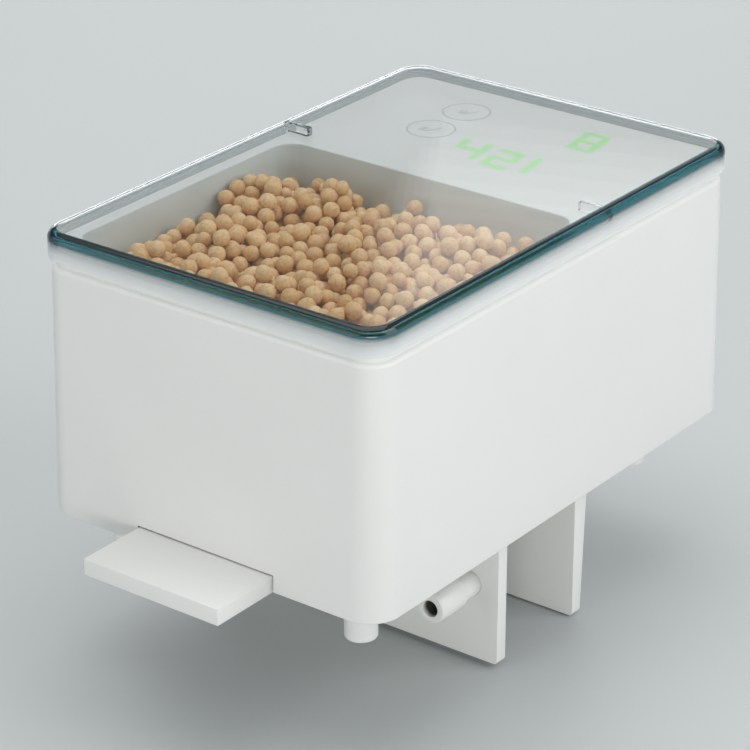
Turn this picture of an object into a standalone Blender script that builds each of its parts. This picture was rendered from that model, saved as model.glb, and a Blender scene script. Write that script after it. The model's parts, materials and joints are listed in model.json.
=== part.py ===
"""Automatic fish feeder that hangs on a tank rim: hopper, drawer-type feed slide and two-screw rim clamp.

Metres, +Z up, feed side toward -Y. The origin is on the flat underside of the base, midway between the jaws.
"""
import math

import bmesh
import bpy
from mathutils import Matrix, Vector

MM = 0.001
GAP = 0.3  # clearance left between neighbouring pieces, mm

# Housing (all in mm)
BODY_W, BODY_L = 90.0, 134.4
BODY_H = 58.1
DRAFT = 1.0
BODY_R = 6.5
SHOULDER_BEVEL = 0.9
COLLAR_INSET = 1.5
COLLAR_TOP = 60.2
WALL = 2.3

# Deck and hopper
DECK_BOTTOM, DECK_TOP = 60.5, 62.5
HOPPER_W, HOPPER_L, HOPPER_Y = 80.0, 73.4, -25.1
HOPPER_R = 5.0
BIN_WALL = 1.2
OUTLET_W, OUTLET_L, OUTLET_Y = 28.0, 12.0, -38.5
OUTLET_BOTTOM = 6.4
FOOD_TOP = 54.0

# Lid
LID_W, LID_L, LID_R = 91.2, 135.6, 6.8
LID_TOP, LID_PLATE, LID_SKIRT_BOTTOM, LID_WALL, LID_EDGE = 66.3, 1.5, 60.0, 1.1, 2.0
RIB_Y, RIB_WIDTH, RIB_LENGTH, RIB_BOTTOM = 16.4, 1.8, 7.2, 62.8

# Base
BASE_W, BASE_L, BASE_R, BASE_T = 86.8, 131.2, 4.9, 2.0
NOTCH_HALF, NOTCH_BACK = 18.7, -44.2
FOOT_X, FOOT_Y_FRONT, FOOT_Y_BACK = 32.2, -55.6, 48.2
FOOT_R, FOOT_DEPTH = 3.65, 11.2
DOOR_HALF, DOOR_Y0, DOOR_Y1 = 27.0, 31.3, 61.7
CORNER_SCREW = (39.5, 61.5)

# Feed slide, rack and pinion
SLIDE_HALF = 18.3
HOOD_FRONT, HOOD_BACK, HOOD_T = -85.9, -62.5, 3.8
TRAY_FRONT, TRAY_BACK, TRAY_Z0, TRAY_Z1 = -65.6, 9.0, 2.3, 6.1
POCKET_HALF, POCKET_LEN = 14.0, 12.0
MODULE, TEETH = 0.8, 14
PITCH_R = MODULE * TEETH / 2
PINION_Y = 5.0
RACK_PITCH_Z = 9.2
PINION_Z = RACK_PITCH_Z + PITCH_R + 0.15
RACK_FRONT, RACK_BACK = -15.7, 8.7

# Rim clamp
JAW_HALF, JAW_T = 40.0, 3.2
FRONT_JAW_FACE, FRONT_JAW_DEPTH = -13.0, 34.1
REAR_JAW_FACE, REAR_JAW_DEPTH, REAR_JAW_ROOT = 13.7, 35.1, 4.8
FLANGE_T, FLANGE_END = 2.5, 28.0
JAW_SCREW = (28.0, 22.1)
SCREW_X, SCREW_Z, SCREW_R, SCREW_BORE = 32.4, -15.7, 3.0, 1.9
SCREW_HEAD_R, SCREW_FRONT, SCREW_HEAD_BACK = 3.6, -31.2, -21.9
SCREW_NECK, SCREW_BACK, SPIGOT_R = -11.6, -8.9, 2.2
PAD_R, PAD_BACK, PAD_FACE = 3.3, -11.3, -7.6

# Control board, display and touch keys
BOARD_Z0, BOARD_Z1 = 55.6, 56.8
KEY_X, KEY_YS, KEY_RING = -18.2, (37.5, 51.6), 5.75

CELL_R, CELL_LEN, CELL_Z, CELL_YS = 7.1, 50.5, 9.4, (38.95, 53.95)

ABS_WHITE = ((0.80, 0.80, 0.79), 0.32, 0.0)
ABS_GREY = ((0.55, 0.55, 0.53), 0.45, 0.0)
CLEAR = ((0.86, 0.92, 0.92), 0.05, 0.0)
ACETAL = ((0.88, 0.86, 0.78), 0.35, 0.0)
RUBBER = ((0.05, 0.05, 0.05), 0.8, 0.0)
STEEL = ((0.62, 0.62, 0.63), 0.3, 1.0)
BRASS = ((0.72, 0.53, 0.22), 0.3, 1.0)
COPPER = ((0.80, 0.45, 0.28), 0.3, 1.0)
BOARD = ((0.03, 0.20, 0.08), 0.5, 0.0)
LED_FACE = ((0.12, 0.14, 0.12), 0.4, 0.0)
BLACK = ((0.03, 0.03, 0.03), 0.5, 0.0)
CELL = ((0.08, 0.24, 0.16), 0.35, 0.2)
FOOD = ((0.52, 0.32, 0.16), 0.75, 0.0)


def clear_scene():
    for obj in list(bpy.data.objects):
        bpy.data.objects.remove(obj, do_unlink=True)
    for mesh in list(bpy.data.meshes):
        bpy.data.meshes.remove(mesh)


def material(name, spec):
    colour, rough, metal = spec
    found = bpy.data.materials.get(name)
    if found:
        return found
    mat = bpy.data.materials.new(name)
    mat.use_nodes = True
    shader = mat.node_tree.nodes["Principled BSDF"]
    shader.inputs["Base Color"].default_value = (*colour, 1.0)
    shader.inputs["Roughness"].default_value = rough
    shader.inputs["Metallic"].default_value = metal
    if name == "clear_plastic":
        shader.inputs["Transmission Weight"].default_value = 1.0
        shader.inputs["IOR"].default_value = 1.49
    return mat


def rounded_rect(half_x, half_y, radius, z, cx=0.0, cy=0.0, steps=7):
    """Points of a rounded rectangle, counter-clockwise seen from above."""
    points = []
    for quarter, (sx, sy) in enumerate(((1, 1), (-1, 1), (-1, -1), (1, -1))):
        for step in range(steps):
            angle = math.pi / 2 * (quarter + step / (steps - 1))
            x = cx + sx * (half_x - radius) + radius * math.cos(angle)
            y = cy + sy * (half_y - radius) + radius * math.sin(angle)
            points.append(Vector((x, y, z)))
    return points


def circle(radius, z, cx=0.0, cy=0.0, steps=24):
    return [
        Vector((
            cx + radius * math.cos(2 * math.pi * k / steps),
            cy + radius * math.sin(2 * math.pi * k / steps), z))
        for k in range(steps)
    ]


def new_mesh_object(name, bm, spec, mat_name, smooth=None):
    bmesh.ops.recalc_face_normals(bm, faces=bm.faces)
    mesh = bpy.data.meshes.new(name)
    bm.to_mesh(mesh)
    bm.free()
    mesh.transform(Matrix.Scale(MM, 4))
    obj = bpy.data.objects.new(name, mesh)
    bpy.context.scene.collection.objects.link(obj)
    if spec:
        mesh.materials.append(material(mat_name, spec))
    if smooth is not None:
        shade(obj, smooth)
    return obj


def shade(obj, angle_deg):
    """Smooth shading on curved walls, with edges sharper than the angle kept crisp."""
    mesh = obj.data
    mesh.shade_smooth()
    work = bmesh.new()
    work.from_mesh(mesh)
    limit = math.radians(angle_deg)
    for edge in work.edges:
        if len(edge.link_faces) == 2:
            edge.smooth = edge.calc_face_angle(0.0) < limit
    work.to_mesh(mesh)
    work.free()


def skin(bm, rings, closed=False):
    """Quads between neighbouring rings; closed joins the last ring to the first, else the ends are capped."""
    verts = [[bm.verts.new(p) for p in ring] for ring in rings]
    count = len(verts[0])
    pairs = list(zip(verts, verts[1:]))
    if closed:
        pairs.append((verts[-1], verts[0]))
    for lower, upper in pairs:
        for k in range(count):
            n = (k + 1) % count
            bm.faces.new((lower[k], lower[n], upper[n], upper[k]))
    if not closed:
        bm.faces.new(list(reversed(verts[0])))
        bm.faces.new(verts[-1])


def loft(name, rings, spec, mat_name, closed=False, smooth=40):
    bm = bmesh.new()
    skin(bm, rings, closed)
    return new_mesh_object(name, bm, spec, mat_name, smooth)


def add_box(bm, x0, x1, y0, y1, z0, z1):
    corners = [bm.verts.new((x, y, z)) for z in (z0, z1) for y in (y0, y1) for x in (x0, x1)]
    for quad in ((0, 2, 3, 1), (4, 5, 7, 6), (0, 1, 5, 4), (2, 6, 7, 3), (1, 3, 7, 5), (0, 4, 6, 2)):
        bm.faces.new([corners[k] for k in quad])


def boxes(name, spans, spec=None, mat_name=None, bevel=0.0):
    """One object made of separate boxes given as (x0, x1, y0, y1, z0, z1)."""
    bm = bmesh.new()
    for span in spans:
        add_box(bm, *span)
    obj = new_mesh_object(name, bm, spec, mat_name)
    if bevel:
        edge = obj.modifiers.new("edge", "BEVEL")
        edge.width = bevel * MM
        edge.segments = 2
        edge.limit_method = "ANGLE"
    return obj


def add_lathe(bm, profile, steps=24, axis="Z", centre=(0.0, 0.0, 0.0)):
    """Closed body of revolution from (radius, height) points, on the axis at both ends or a closed loop."""
    rings = []
    for radius, height in profile:
        if radius < 1e-6:
            rings.append([(0.0, 0.0, height)])
        else:
            rings.append([(p.x, p.y, height) for p in circle(radius, 0.0, steps=steps)])
    turned = []
    for ring in rings:
        row = []
        for x, y, h in ring:
            if axis == "Z":
                p = Vector((x, y, h))
            elif axis == "Y":
                p = Vector((y, h, x))
            else:
                p = Vector((h, x, y))
            row.append(bm.verts.new(p + Vector(centre)))
        turned.append(row)
    solid_ends = len(turned[0]) == 1
    pairs = list(zip(turned, turned[1:]))
    if not solid_ends:
        pairs.append((turned[-1], turned[0]))
    for low, high in pairs:
        for k in range(steps):
            n = (k + 1) % steps
            if len(low) == 1:
                bm.faces.new((low[0], high[n], high[k]))
            elif len(high) == 1:
                bm.faces.new((low[k], low[n], high[0]))
            else:
                bm.faces.new((low[k], low[n], high[n], high[k]))


def lathe(name, profile, spec, mat_name, steps=24, axis="Z", centre=(0.0, 0.0, 0.0), smooth=40):
    bm = bmesh.new()
    add_lathe(bm, profile, steps, axis, centre)
    return new_mesh_object(name, bm, spec, mat_name, smooth)


def drum(radius, low, high):
    return [(0.0, low), (radius, low), (radius, high), (0.0, high)]


def pipe(outer, inner, low, high):
    return [(outer, low), (outer, high), (inner, high), (inner, low)]


def helper(obj):
    obj.hide_render = True
    obj.display_type = "WIRE"
    return obj


def boolean(obj, other, operation):
    step = obj.modifiers.new(operation.lower() + "_" + other.name, "BOOLEAN")
    step.operation = operation
    step.solver = "EXACT"
    step.object = helper(other)


def cut(obj, other):
    boolean(obj, other, "DIFFERENCE")


def join(obj, other):
    boolean(obj, other, "UNION")


def drums(name, places, radius, low, high, steps=16, axis="Z"):
    """Helper of several cylinders, each standing at a place on the axis direction."""
    bm = bmesh.new()
    for place in places:
        add_lathe(bm, drum(radius, low, high), steps, axis, place)
    return new_mesh_object(name, bm, None, None)


def corners4(x, y):
    return [(sx * x, sy * y, 0.0) for sy in (-1, 1) for sx in (-1, 1)]


def housing():
    hx, hy, r = BODY_W / 2, BODY_L / 2, BODY_R
    cx, cy = hx - COLLAR_INSET, hy - COLLAR_INSET
    rings = []
    for z, inset in ((0.0, 0.35), (0.35, 0.0)):
        rings.append(rounded_rect(hx + DRAFT - inset, hy + DRAFT - inset, r + DRAFT - inset, z))
    rings.append(rounded_rect(hx, hy, r, BODY_H - SHOULDER_BEVEL))
    rings.append(rounded_rect(hx - 0.35, hy - 0.35, r - 0.35, BODY_H - 0.25))
    rings.append(rounded_rect(hx - 0.9, hy - 0.9, r - 0.9, BODY_H))
    rings.append(rounded_rect(cx, cy, r - COLLAR_INSET, BODY_H + 0.02))
    rings.append(rounded_rect(cx, cy, r - COLLAR_INSET, COLLAR_TOP))
    rings.append(rounded_rect(cx - 1.8, cy - 1.8, r - COLLAR_INSET - 1.8, COLLAR_TOP))
    rings.append(rounded_rect(cx - 1.8, cy - 1.8, r - COLLAR_INSET - 1.8, 55.0))
    rings.append(rounded_rect(hx - WALL, hy - WALL, r - WALL, 53.0))
    rings.append(rounded_rect(hx + DRAFT - WALL, hy + DRAFT - WALL, r + DRAFT - WALL, 0.0))
    obj = loft("housing", rings, ABS_WHITE, "white_abs", closed=True, smooth=25)
    bx, by = CORNER_SCREW
    posts = bmesh.new()
    for sx in (-1, 1):
        for sy in (-1, 1):
            top = 24.0 if sy < 0 else 40.0
            add_lathe(posts, drum(3.3, BASE_T + GAP, top), 20, "Z", (sx * bx, sy * by, 0.0))
    join(obj, new_mesh_object("housing_posts", posts, None, None))
    webs = bmesh.new()
    for sx in (-1, 1):
        for sy in (-1, 1):
            top = 23.5 if sy < 0 else 39.5
            xs = sorted((sx * (bx + 2.0), sx * 44.4))
            add_box(webs, *xs, sy * by - 0.8, sy * by + 0.8, BASE_T + GAP + 0.1, top)
    join(obj, new_mesh_object("housing_webs", webs, None, None))
    cut(obj, drums("housing_post_holes", corners4(bx, by), 1.15, -1.0, 14.0, 14))
    cut(obj, boxes("housing_slot", [(-NOTCH_HALF, NOTCH_HALF, -72.0, -64.0, -1.0, HOOD_T + 0.35)]))
    return obj


def icon_bars(cx, cy, shape):
    """Narrow straight cuts that make a simple pictogram inside a key ring."""
    bars = {
        "feed": (
            (-0.18, 0.18, -1.2, 2.3), (-1.9, 1.9, -2.6, -2.25),
            (-1.9, -1.55, -2.24, -1.2), (1.55, 1.9, -2.24, -1.2)),
        "menu": ((-1.9, 1.9, 1.5, 1.85), (-1.9, 1.9, -0.2, 0.15), (-1.9, 1.9, -1.9, -1.55)),
    }[shape]
    return [(cx + a, cx + b, cy + c, cy + d, DECK_TOP - 0.2, DECK_TOP + 1.0) for a, b, c, d in bars]


def deck():
    cx, cy = BODY_W / 2 - COLLAR_INSET, BODY_L / 2 - COLLAR_INSET
    r = BODY_R - COLLAR_INSET
    hx, hy = HOPPER_W / 2, HOPPER_L / 2
    rings = [rounded_rect(cx, cy, r, DECK_BOTTOM)]
    for z, inset in ((DECK_TOP - 0.4, 0.0), (DECK_TOP - 0.12, 0.12), (DECK_TOP, 0.4)):
        rings.append(rounded_rect(cx - inset, cy - inset, r - inset, z))
    rings.append(rounded_rect(hx + 0.3, hy + 0.3, HOPPER_R + 0.3, DECK_TOP, 0.0, HOPPER_Y))
    rings.append(rounded_rect(hx, hy, HOPPER_R, DECK_TOP - 0.3, 0.0, HOPPER_Y))
    rings.append(rounded_rect(hx, hy, HOPPER_R, DECK_BOTTOM, 0.0, HOPPER_Y))
    obj = loft("deck", rings, ABS_WHITE, "white_abs", closed=True, smooth=25)
    low = DECK_BOTTOM - 3.0
    spans = [(-36.0, 36.0, 62.1, 63.5, low, DECK_BOTTOM + 0.5)]
    for side in (-1, 1):
        xs = sorted((side * 40.0, side * 41.3))
        spans.append((*xs, 18.0, 58.0, low, DECK_BOTTOM + 0.5))
    join(obj, boxes("deck_locating_rim", spans))
    posts = [(x, y, 0.0) for x in (-33.0, 33.0) for y in (22.0, 56.0)]
    join(obj, drums("deck_posts", posts, 2.5, BOARD_Z1 + GAP, DECK_BOTTOM + 0.5, 16))
    cut(obj, drums("deck_post_holes", posts, 0.95, BOARD_Z1, DECK_BOTTOM - 0.3, 12))
    grooves = bmesh.new()
    for y in KEY_YS:
        groove = pipe(KEY_RING, KEY_RING - 0.28, DECK_TOP - 0.2, DECK_TOP + 1.0)
        add_lathe(grooves, groove, 40, "Z", (KEY_X, y, 0.0))
    cut(obj, new_mesh_object("deck_key_rings", grooves, None, None))
    bars = icon_bars(KEY_X, KEY_YS[0], "feed") + icon_bars(KEY_X, KEY_YS[1], "menu")
    cut(obj, boxes("deck_key_icons", bars))
    return obj


def hopper_bin():
    hx, hy = HOPPER_W / 2, HOPPER_L / 2
    ox, oy = OUTLET_W / 2, OUTLET_L / 2
    wall = BIN_WALL
    rings = [
        rounded_rect(ox + wall, oy + wall, 2.0, OUTLET_BOTTOM, 0.0, OUTLET_Y),
        rounded_rect(ox + wall, oy + wall, 2.0, 8.6, 0.0, OUTLET_Y),
        rounded_rect(hx + wall - 0.6, hy + wall - 0.6, 6.0, 35.0, 0.0, HOPPER_Y),
        rounded_rect(hx + wall, hy + wall, 6.2, 58.8, 0.0, HOPPER_Y),
        rounded_rect(hx + wall + 0.2, hy + wall + 0.5, 6.4, 58.9, 0.0, HOPPER_Y),
        rounded_rect(hx + wall + 0.2, hy + wall + 0.5, 6.4, COLLAR_TOP, 0.0, HOPPER_Y),
        rounded_rect(hx, hy, HOPPER_R, COLLAR_TOP, 0.0, HOPPER_Y),
        rounded_rect(hx - 0.8, hy - 0.8, HOPPER_R, 36.0, 0.0, HOPPER_Y),
        rounded_rect(ox, oy, 1.2, 9.6, 0.0, OUTLET_Y),
        rounded_rect(ox, oy, 1.2, OUTLET_BOTTOM, 0.0, OUTLET_Y),
    ]
    return loft("hopper_bin", rings, ABS_GREY, "grey_abs", closed=True, smooth=30)


def food_bed():
    """Loose feed, as one solid with a gently domed top."""
    hx, hy = HOPPER_W / 2 - 0.8 - GAP, HOPPER_L / 2 - 0.8 - GAP
    ox, oy = OUTLET_W / 2 - GAP, OUTLET_L / 2 - GAP
    rings = [
        rounded_rect(ox, oy, 1.0, OUTLET_BOTTOM + 0.2, 0.0, OUTLET_Y),
        rounded_rect(ox, oy, 1.0, 9.9, 0.0, OUTLET_Y),
        rounded_rect(hx, hy, HOPPER_R - 0.3, 36.7, 0.0, HOPPER_Y),
        rounded_rect(hx + 0.3, hy + 0.3, HOPPER_R - 0.3, FOOD_TOP, 0.0, HOPPER_Y),
        rounded_rect(hx - 12.0, hy - 12.0, 6.0, FOOD_TOP + 1.2, 0.0, HOPPER_Y),
        rounded_rect(hx - 26.0, hy - 26.0, 6.0, FOOD_TOP + 1.6, 0.0, HOPPER_Y),
    ]
    return loft("food_pellets", rings, FOOD, "fish_food", smooth=50)


def lid():
    hx, hy, r = LID_W / 2, LID_L / 2, LID_R
    rings = [rounded_rect(hx, hy, r, LID_SKIRT_BOTTOM)]
    for k in range(4):
        inset = LID_EDGE * (1 - math.cos(math.pi / 6 * k))
        z = LID_TOP - LID_EDGE * (1 - math.sin(math.pi / 6 * k))
        rings.append(rounded_rect(hx - inset, hy - inset, r - inset, z))
    bm = bmesh.new()
    outer = [[bm.verts.new(p) for p in ring] for ring in rings]
    inner = []
    under = LID_TOP - LID_PLATE
    steps = [(LID_SKIRT_BOTTOM, LID_WALL), (under - 0.9, LID_WALL)]
    steps += [(under - 0.25, LID_WALL + 0.25), (under, LID_WALL + 0.9)]
    for z, inset in steps:
        ring = rounded_rect(hx - inset, hy - inset, r - inset, z)
        inner.append([bm.verts.new(p) for p in ring])
    count = len(outer[0])
    for low, high in zip(outer, outer[1:]):
        for k in range(count):
            n = (k + 1) % count
            bm.faces.new((low[k], low[n], high[n], high[k]))
    for low, high in zip(inner, inner[1:]):
        for k in range(count):
            n = (k + 1) % count
            bm.faces.new((low[n], low[k], high[k], high[n]))
    for k in range(count):
        n = (k + 1) % count
        bm.faces.new((outer[0][n], outer[0][k], inner[0][k], inner[0][n]))
    bm.faces.new(outer[-1])
    bm.faces.new(list(reversed(inner[-1])))
    obj = new_mesh_object("lid", bm, CLEAR, "clear_plastic", 25)
    y0, y1 = RIB_Y - RIB_WIDTH / 2, RIB_Y + RIB_WIDTH / 2
    inner_x = hx - LID_WALL
    for side, word in ((-1, "left"), (1, "right")):
        flat = sorted((side * (inner_x + 0.4), side * (inner_x - RIB_LENGTH)))
        join(obj, boxes("lid_rib_" + word, [(*flat, y0, y1, RIB_BOTTOM, under + 0.3)]))
        tall = sorted((side * (inner_x + 0.4), side * (inner_x - 0.65)))
        leg = (*tall, y0 + 0.05, y1 - 0.05, LID_SKIRT_BOTTOM + 0.2, RIB_BOTTOM + 0.4)
        join(obj, boxes("lid_rib_leg_" + word, [leg]))
    return obj


def base_plate():
    hx, hy, r = BASE_W / 2, BASE_L / 2, BASE_R
    rings = [
        rounded_rect(hx - 0.3, hy - 0.3, r - 0.3, 0.0),
        rounded_rect(hx, hy, r, 0.3),
        rounded_rect(hx, hy, r, BASE_T),
    ]
    obj = loft("base_plate", rings, ABS_WHITE, "white_abs", smooth=30)
    join(obj, drums("base_bosses", corners4(*JAW_SCREW), 3.0, BASE_T - 0.5, 9.0, 18))
    cut(obj, boxes("base_notch", [(-NOTCH_HALF, NOTCH_HALF, -70.0, NOTCH_BACK, -1.0, 4.0)]))
    door = (-DOOR_HALF - GAP, DOOR_HALF + GAP, DOOR_Y0 - GAP, DOOR_Y1 + GAP, -1.0, 4.0)
    cut(obj, boxes("base_door_opening", [door]))
    cut(obj, drums("base_jaw_holes", corners4(*JAW_SCREW), 1.5, -1.0, 7.5, 14))
    bx, by = CORNER_SCREW
    cut(obj, drums("base_corner_holes", corners4(bx, by), 1.5, -1.0, 4.0, 14))
    cut(obj, drums("base_corner_sinks", corners4(bx, by), 3.1, -1.0, 1.0, 18))
    feet = [(sx * FOOT_X, y, 0.0) for y in (FOOT_Y_FRONT, FOOT_Y_BACK) for sx in (-1, 1)]
    cut(obj, drums("base_foot_holes", feet, 2.3, -1.0, 4.0, 16))
    small = [(sx * 21.1, y, 0.0) for y in (-52.0, 15.0) for sx in (-1, 1)]
    small += [(27.2, -6.5, 0.0), (27.2, 15.6, 0.0)]
    cut(obj, drums("base_small_holes", small, 1.15, -1.0, 4.0, 12))
    return obj


def feet():
    rows = (("front", FOOT_Y_FRONT), ("back", FOOT_Y_BACK))
    for row, y in rows:
        for side, sx in (("left", -1), ("right", 1)):
            low = -FOOT_DEPTH
            profile = [
                (0.0, low), (FOOT_R - 0.5, low), (FOOT_R - 0.15, low + 0.15), (FOOT_R, low + 0.5),
                (FOOT_R, -GAP), (2.0, -GAP), (2.0, BASE_T - 0.2), (0.0, BASE_T - 0.2),
            ]
            lathe("foot_" + row + "_" + side, profile, ABS_WHITE, "white_abs", 28, "Z", (sx * FOOT_X, y, 0.0))


def feed_slide():
    obj = boxes(
        "feed_slide",
        [(-SLIDE_HALF, SLIDE_HALF, HOOD_FRONT, HOOD_BACK, 0.0, HOOD_T)],
        ABS_WHITE, "white_abs", 0.25,
    )
    obj.modifiers["edge"].segments = 2
    tray = (-SLIDE_HALF + 0.02, SLIDE_HALF - 0.02, TRAY_FRONT, TRAY_BACK, TRAY_Z0, TRAY_Z1)
    join(obj, boxes("slide_tray", [tray]))
    pocket = (-POCKET_HALF, POCKET_HALF, HOOD_BACK, HOOD_BACK + POCKET_LEN, 1.0, 9.0)
    cut(obj, boxes("slide_pocket", [pocket]))
    holes = [(0.0, -11.0, 0.0), (0.0, -2.0, 0.0)]
    cut(obj, drums("slide_rack_pegs", holes, 1.5, 4.0, 8.0, 14))
    return obj


def feed_rack():
    pitch = math.pi * MODULE
    root, tip = RACK_PITCH_Z - 1.2 * MODULE, RACK_PITCH_Z + MODULE
    half_root, half_tip = pitch / 4 + 0.30, pitch / 4 - 0.36
    outline = [(RACK_FRONT, TRAY_Z1 + GAP), (RACK_BACK, TRAY_Z1 + GAP), (RACK_BACK, root)]
    first = int((RACK_BACK - PINION_Y - half_root - 0.1) // pitch)
    last = -int((PINION_Y - RACK_FRONT - half_root - 0.1) // pitch)
    for k in range(first, last - 1, -1):
        y = PINION_Y + k * pitch
        outline += [(y + half_root, root), (y + half_tip, tip), (y - half_tip, tip), (y - half_root, root)]
    outline.append((RACK_FRONT, root))
    bm = bmesh.new()
    low = [bm.verts.new((-3.0, y, z)) for y, z in outline]
    high = [bm.verts.new((3.0, y, z)) for y, z in outline]
    count = len(outline)
    for k in range(count):
        n = (k + 1) % count
        bm.faces.new((low[k], low[n], high[n], high[k]))
    bm.faces.new(list(reversed(low)))
    bm.faces.new(high)
    obj = new_mesh_object("feed_rack", bm, ACETAL, "acetal")
    join(obj, drums("rack_pegs", [(0.0, -11.0, 0.0), (0.0, -2.0, 0.0)], 1.2, 4.6, 7.2, 14))
    return obj


def drive():
    """Pinion and its shaft, both with their origin on the turning axis, and the gearmotor that turns them."""
    axis = (0.0, PINION_Y, PINION_Z)
    outer, root = PITCH_R + MODULE, PITCH_R - 1.2 * MODULE
    pitch_angle = 2 * math.pi / TEETH
    outline = []
    for k in range(TEETH):
        centre = -math.pi / 2 + pitch_angle * (k + 0.5)
        for offset, radius in ((-0.30, root), (-0.135, outer), (0.135, outer), (0.30, root)):
            angle = centre + offset * pitch_angle
            outline.append((radius * math.cos(angle), radius * math.sin(angle)))
    bm = bmesh.new()
    bore = [(1.8 * math.cos(math.atan2(s, c)), 1.8 * math.sin(math.atan2(s, c))) for c, s in outline]
    rings = []
    for x, loop in ((-2.6, outline), (2.6, outline), (2.6, bore), (-2.6, bore)):
        rings.append([Vector((x, a, b)) for a, b in loop])
    skin(bm, rings, closed=True)
    pinion = new_mesh_object("pinion", bm, ACETAL, "acetal")
    pinion.location = [v * MM for v in axis]
    shaft = lathe("drive_shaft", drum(1.5, -5.5, 5.2), STEEL, "steel", 20, "X")
    shaft.location = [v * MM for v in axis]
    z0, z1 = PINION_Z - 5.0, PINION_Z + 5.0
    boxes("gearbox", [(5.5, 14.5, PINION_Y - 6.0, PINION_Y + 6.0, z0, z1)], BRASS, "brass", 0.3)
    can = bmesh.new()
    rings = []
    for x in (14.8, 29.6):
        ring = []
        for k in range(28):
            angle = 2 * math.pi * k / 28
            y, z = 6.0 * math.cos(angle), 6.0 * math.sin(angle)
            z = max(-5.0, min(5.0, z * 1.25))
            ring.append(Vector((x, PINION_Y + y, PINION_Z + z)))
        rings.append(ring)
    skin(can, rings)
    new_mesh_object("motor", can, STEEL, "steel", 35)
    strap = boxes(
        "motor_bracket",
        [(24.2, 30.0, PINION_Y - 8.1, PINION_Y + 8.1, BASE_T + GAP, z1 + 1.8)],
        ABS_GREY, "grey_abs",
    )
    inside = (23.0, 31.0, PINION_Y - 6.4, PINION_Y + 6.4, 0.0, z1 + 0.3)
    cut(strap, boxes("bracket_inside", [inside]))
    legs = [(24.2, 30.0, PINION_Y - 14.4, PINION_Y - 6.5, BASE_T + GAP, BASE_T + GAP + 1.8)]
    legs.append((24.2, 30.0, PINION_Y + 6.5, PINION_Y + 13.6, BASE_T + GAP, BASE_T + GAP + 1.8))
    join(strap, boxes("bracket_feet", legs))
    cut(strap, drums("bracket_holes", [(27.2, -6.5, 0.0), (27.2, 15.6, 0.0)], 1.3, 1.0, 6.0, 12))


def guide_rails():
    for side, word in ((-1, "left"), (1, "right")):
        spans = []
        for a, b, z0, z1 in ((18.7, 23.5, BASE_T + GAP, 7.9), (16.9, 23.45, 6.4, 7.9)):
            xs = sorted((side * a, side * b))
            spans.append((*xs, z0, z1))
        x0, x1, z0, z1 = spans[0]
        obj = boxes("guide_rail_" + word, [(x0, x1, -60.0, 19.5, z0, z1)], ACETAL, "acetal")
        x0, x1, z0, z1 = spans[1]
        join(obj, boxes("rail_lip_" + word, [(x0, x1, -59.95, 19.45, z0, z1 - 0.02)]))
        holes = [(side * 21.1, -52.0, 0.0), (side * 21.1, 15.0, 0.0)]
        cut(obj, drums("rail_holes_" + word, holes, 0.95, 1.0, 6.5, 12))


def jaw_outline(depth):
    """Front view of a jaw plate: square at the top, with slightly rounded lower corners."""
    half, low, r = JAW_HALF, -depth, 0.8
    outline = [(-half, -GAP), (half, -GAP)]
    for k in range(5):
        angle = -math.pi / 2 * k / 4
        outline.append((half - r + r * math.cos(angle), low + r + r * math.sin(angle)))
    for k in range(5):
        angle = -math.pi / 2 - math.pi / 2 * k / 4
        outline.append((-half + r + r * math.cos(angle), low + r + r * math.sin(angle)))
    return outline


def jaw(word, sign, face, depth, root):
    """Clamp jaw hung under the base by its flange, root thick at the top and JAW_T thick at its lower edge."""
    near, far = [], []
    for x, z in jaw_outline(depth):
        thick = JAW_T + (root - JAW_T) * (z + depth) / depth
        near.append(Vector((x, face, z)))
        far.append(Vector((x, face + sign * thick, z)))
    bm = bmesh.new()
    skin(bm, [near, far])
    obj = new_mesh_object(word + "_jaw", bm, ABS_WHITE, "white_abs")
    ys = sorted((face + sign * (JAW_T - 0.5), sign * FLANGE_END))
    flange = (-JAW_HALF + 0.02, JAW_HALF - 0.02, *ys, -GAP - FLANGE_T, -GAP - 0.01)
    join(obj, boxes(word + "_jaw_flange", [flange]))
    screw_x, screw_y = JAW_SCREW
    holes = [(-screw_x, sign * screw_y, 0.0), (screw_x, sign * screw_y, 0.0)]
    cut(obj, drums(word + "_jaw_holes", holes, 1.6, -5.0, 1.0, 14))
    return obj


def jaws():
    front = jaw("front", -1, FRONT_JAW_FACE, FRONT_JAW_DEPTH, JAW_T)
    bores = [(sx * SCREW_X, 0.0, SCREW_Z) for sx in (-1, 1)]
    cut(front, drums("front_jaw_bores", bores, SCREW_R + GAP, -20.0, -10.0, 28, "Y"))
    jaw("rear", 1, REAR_JAW_FACE, REAR_JAW_DEPTH, REAR_JAW_ROOT)


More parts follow.
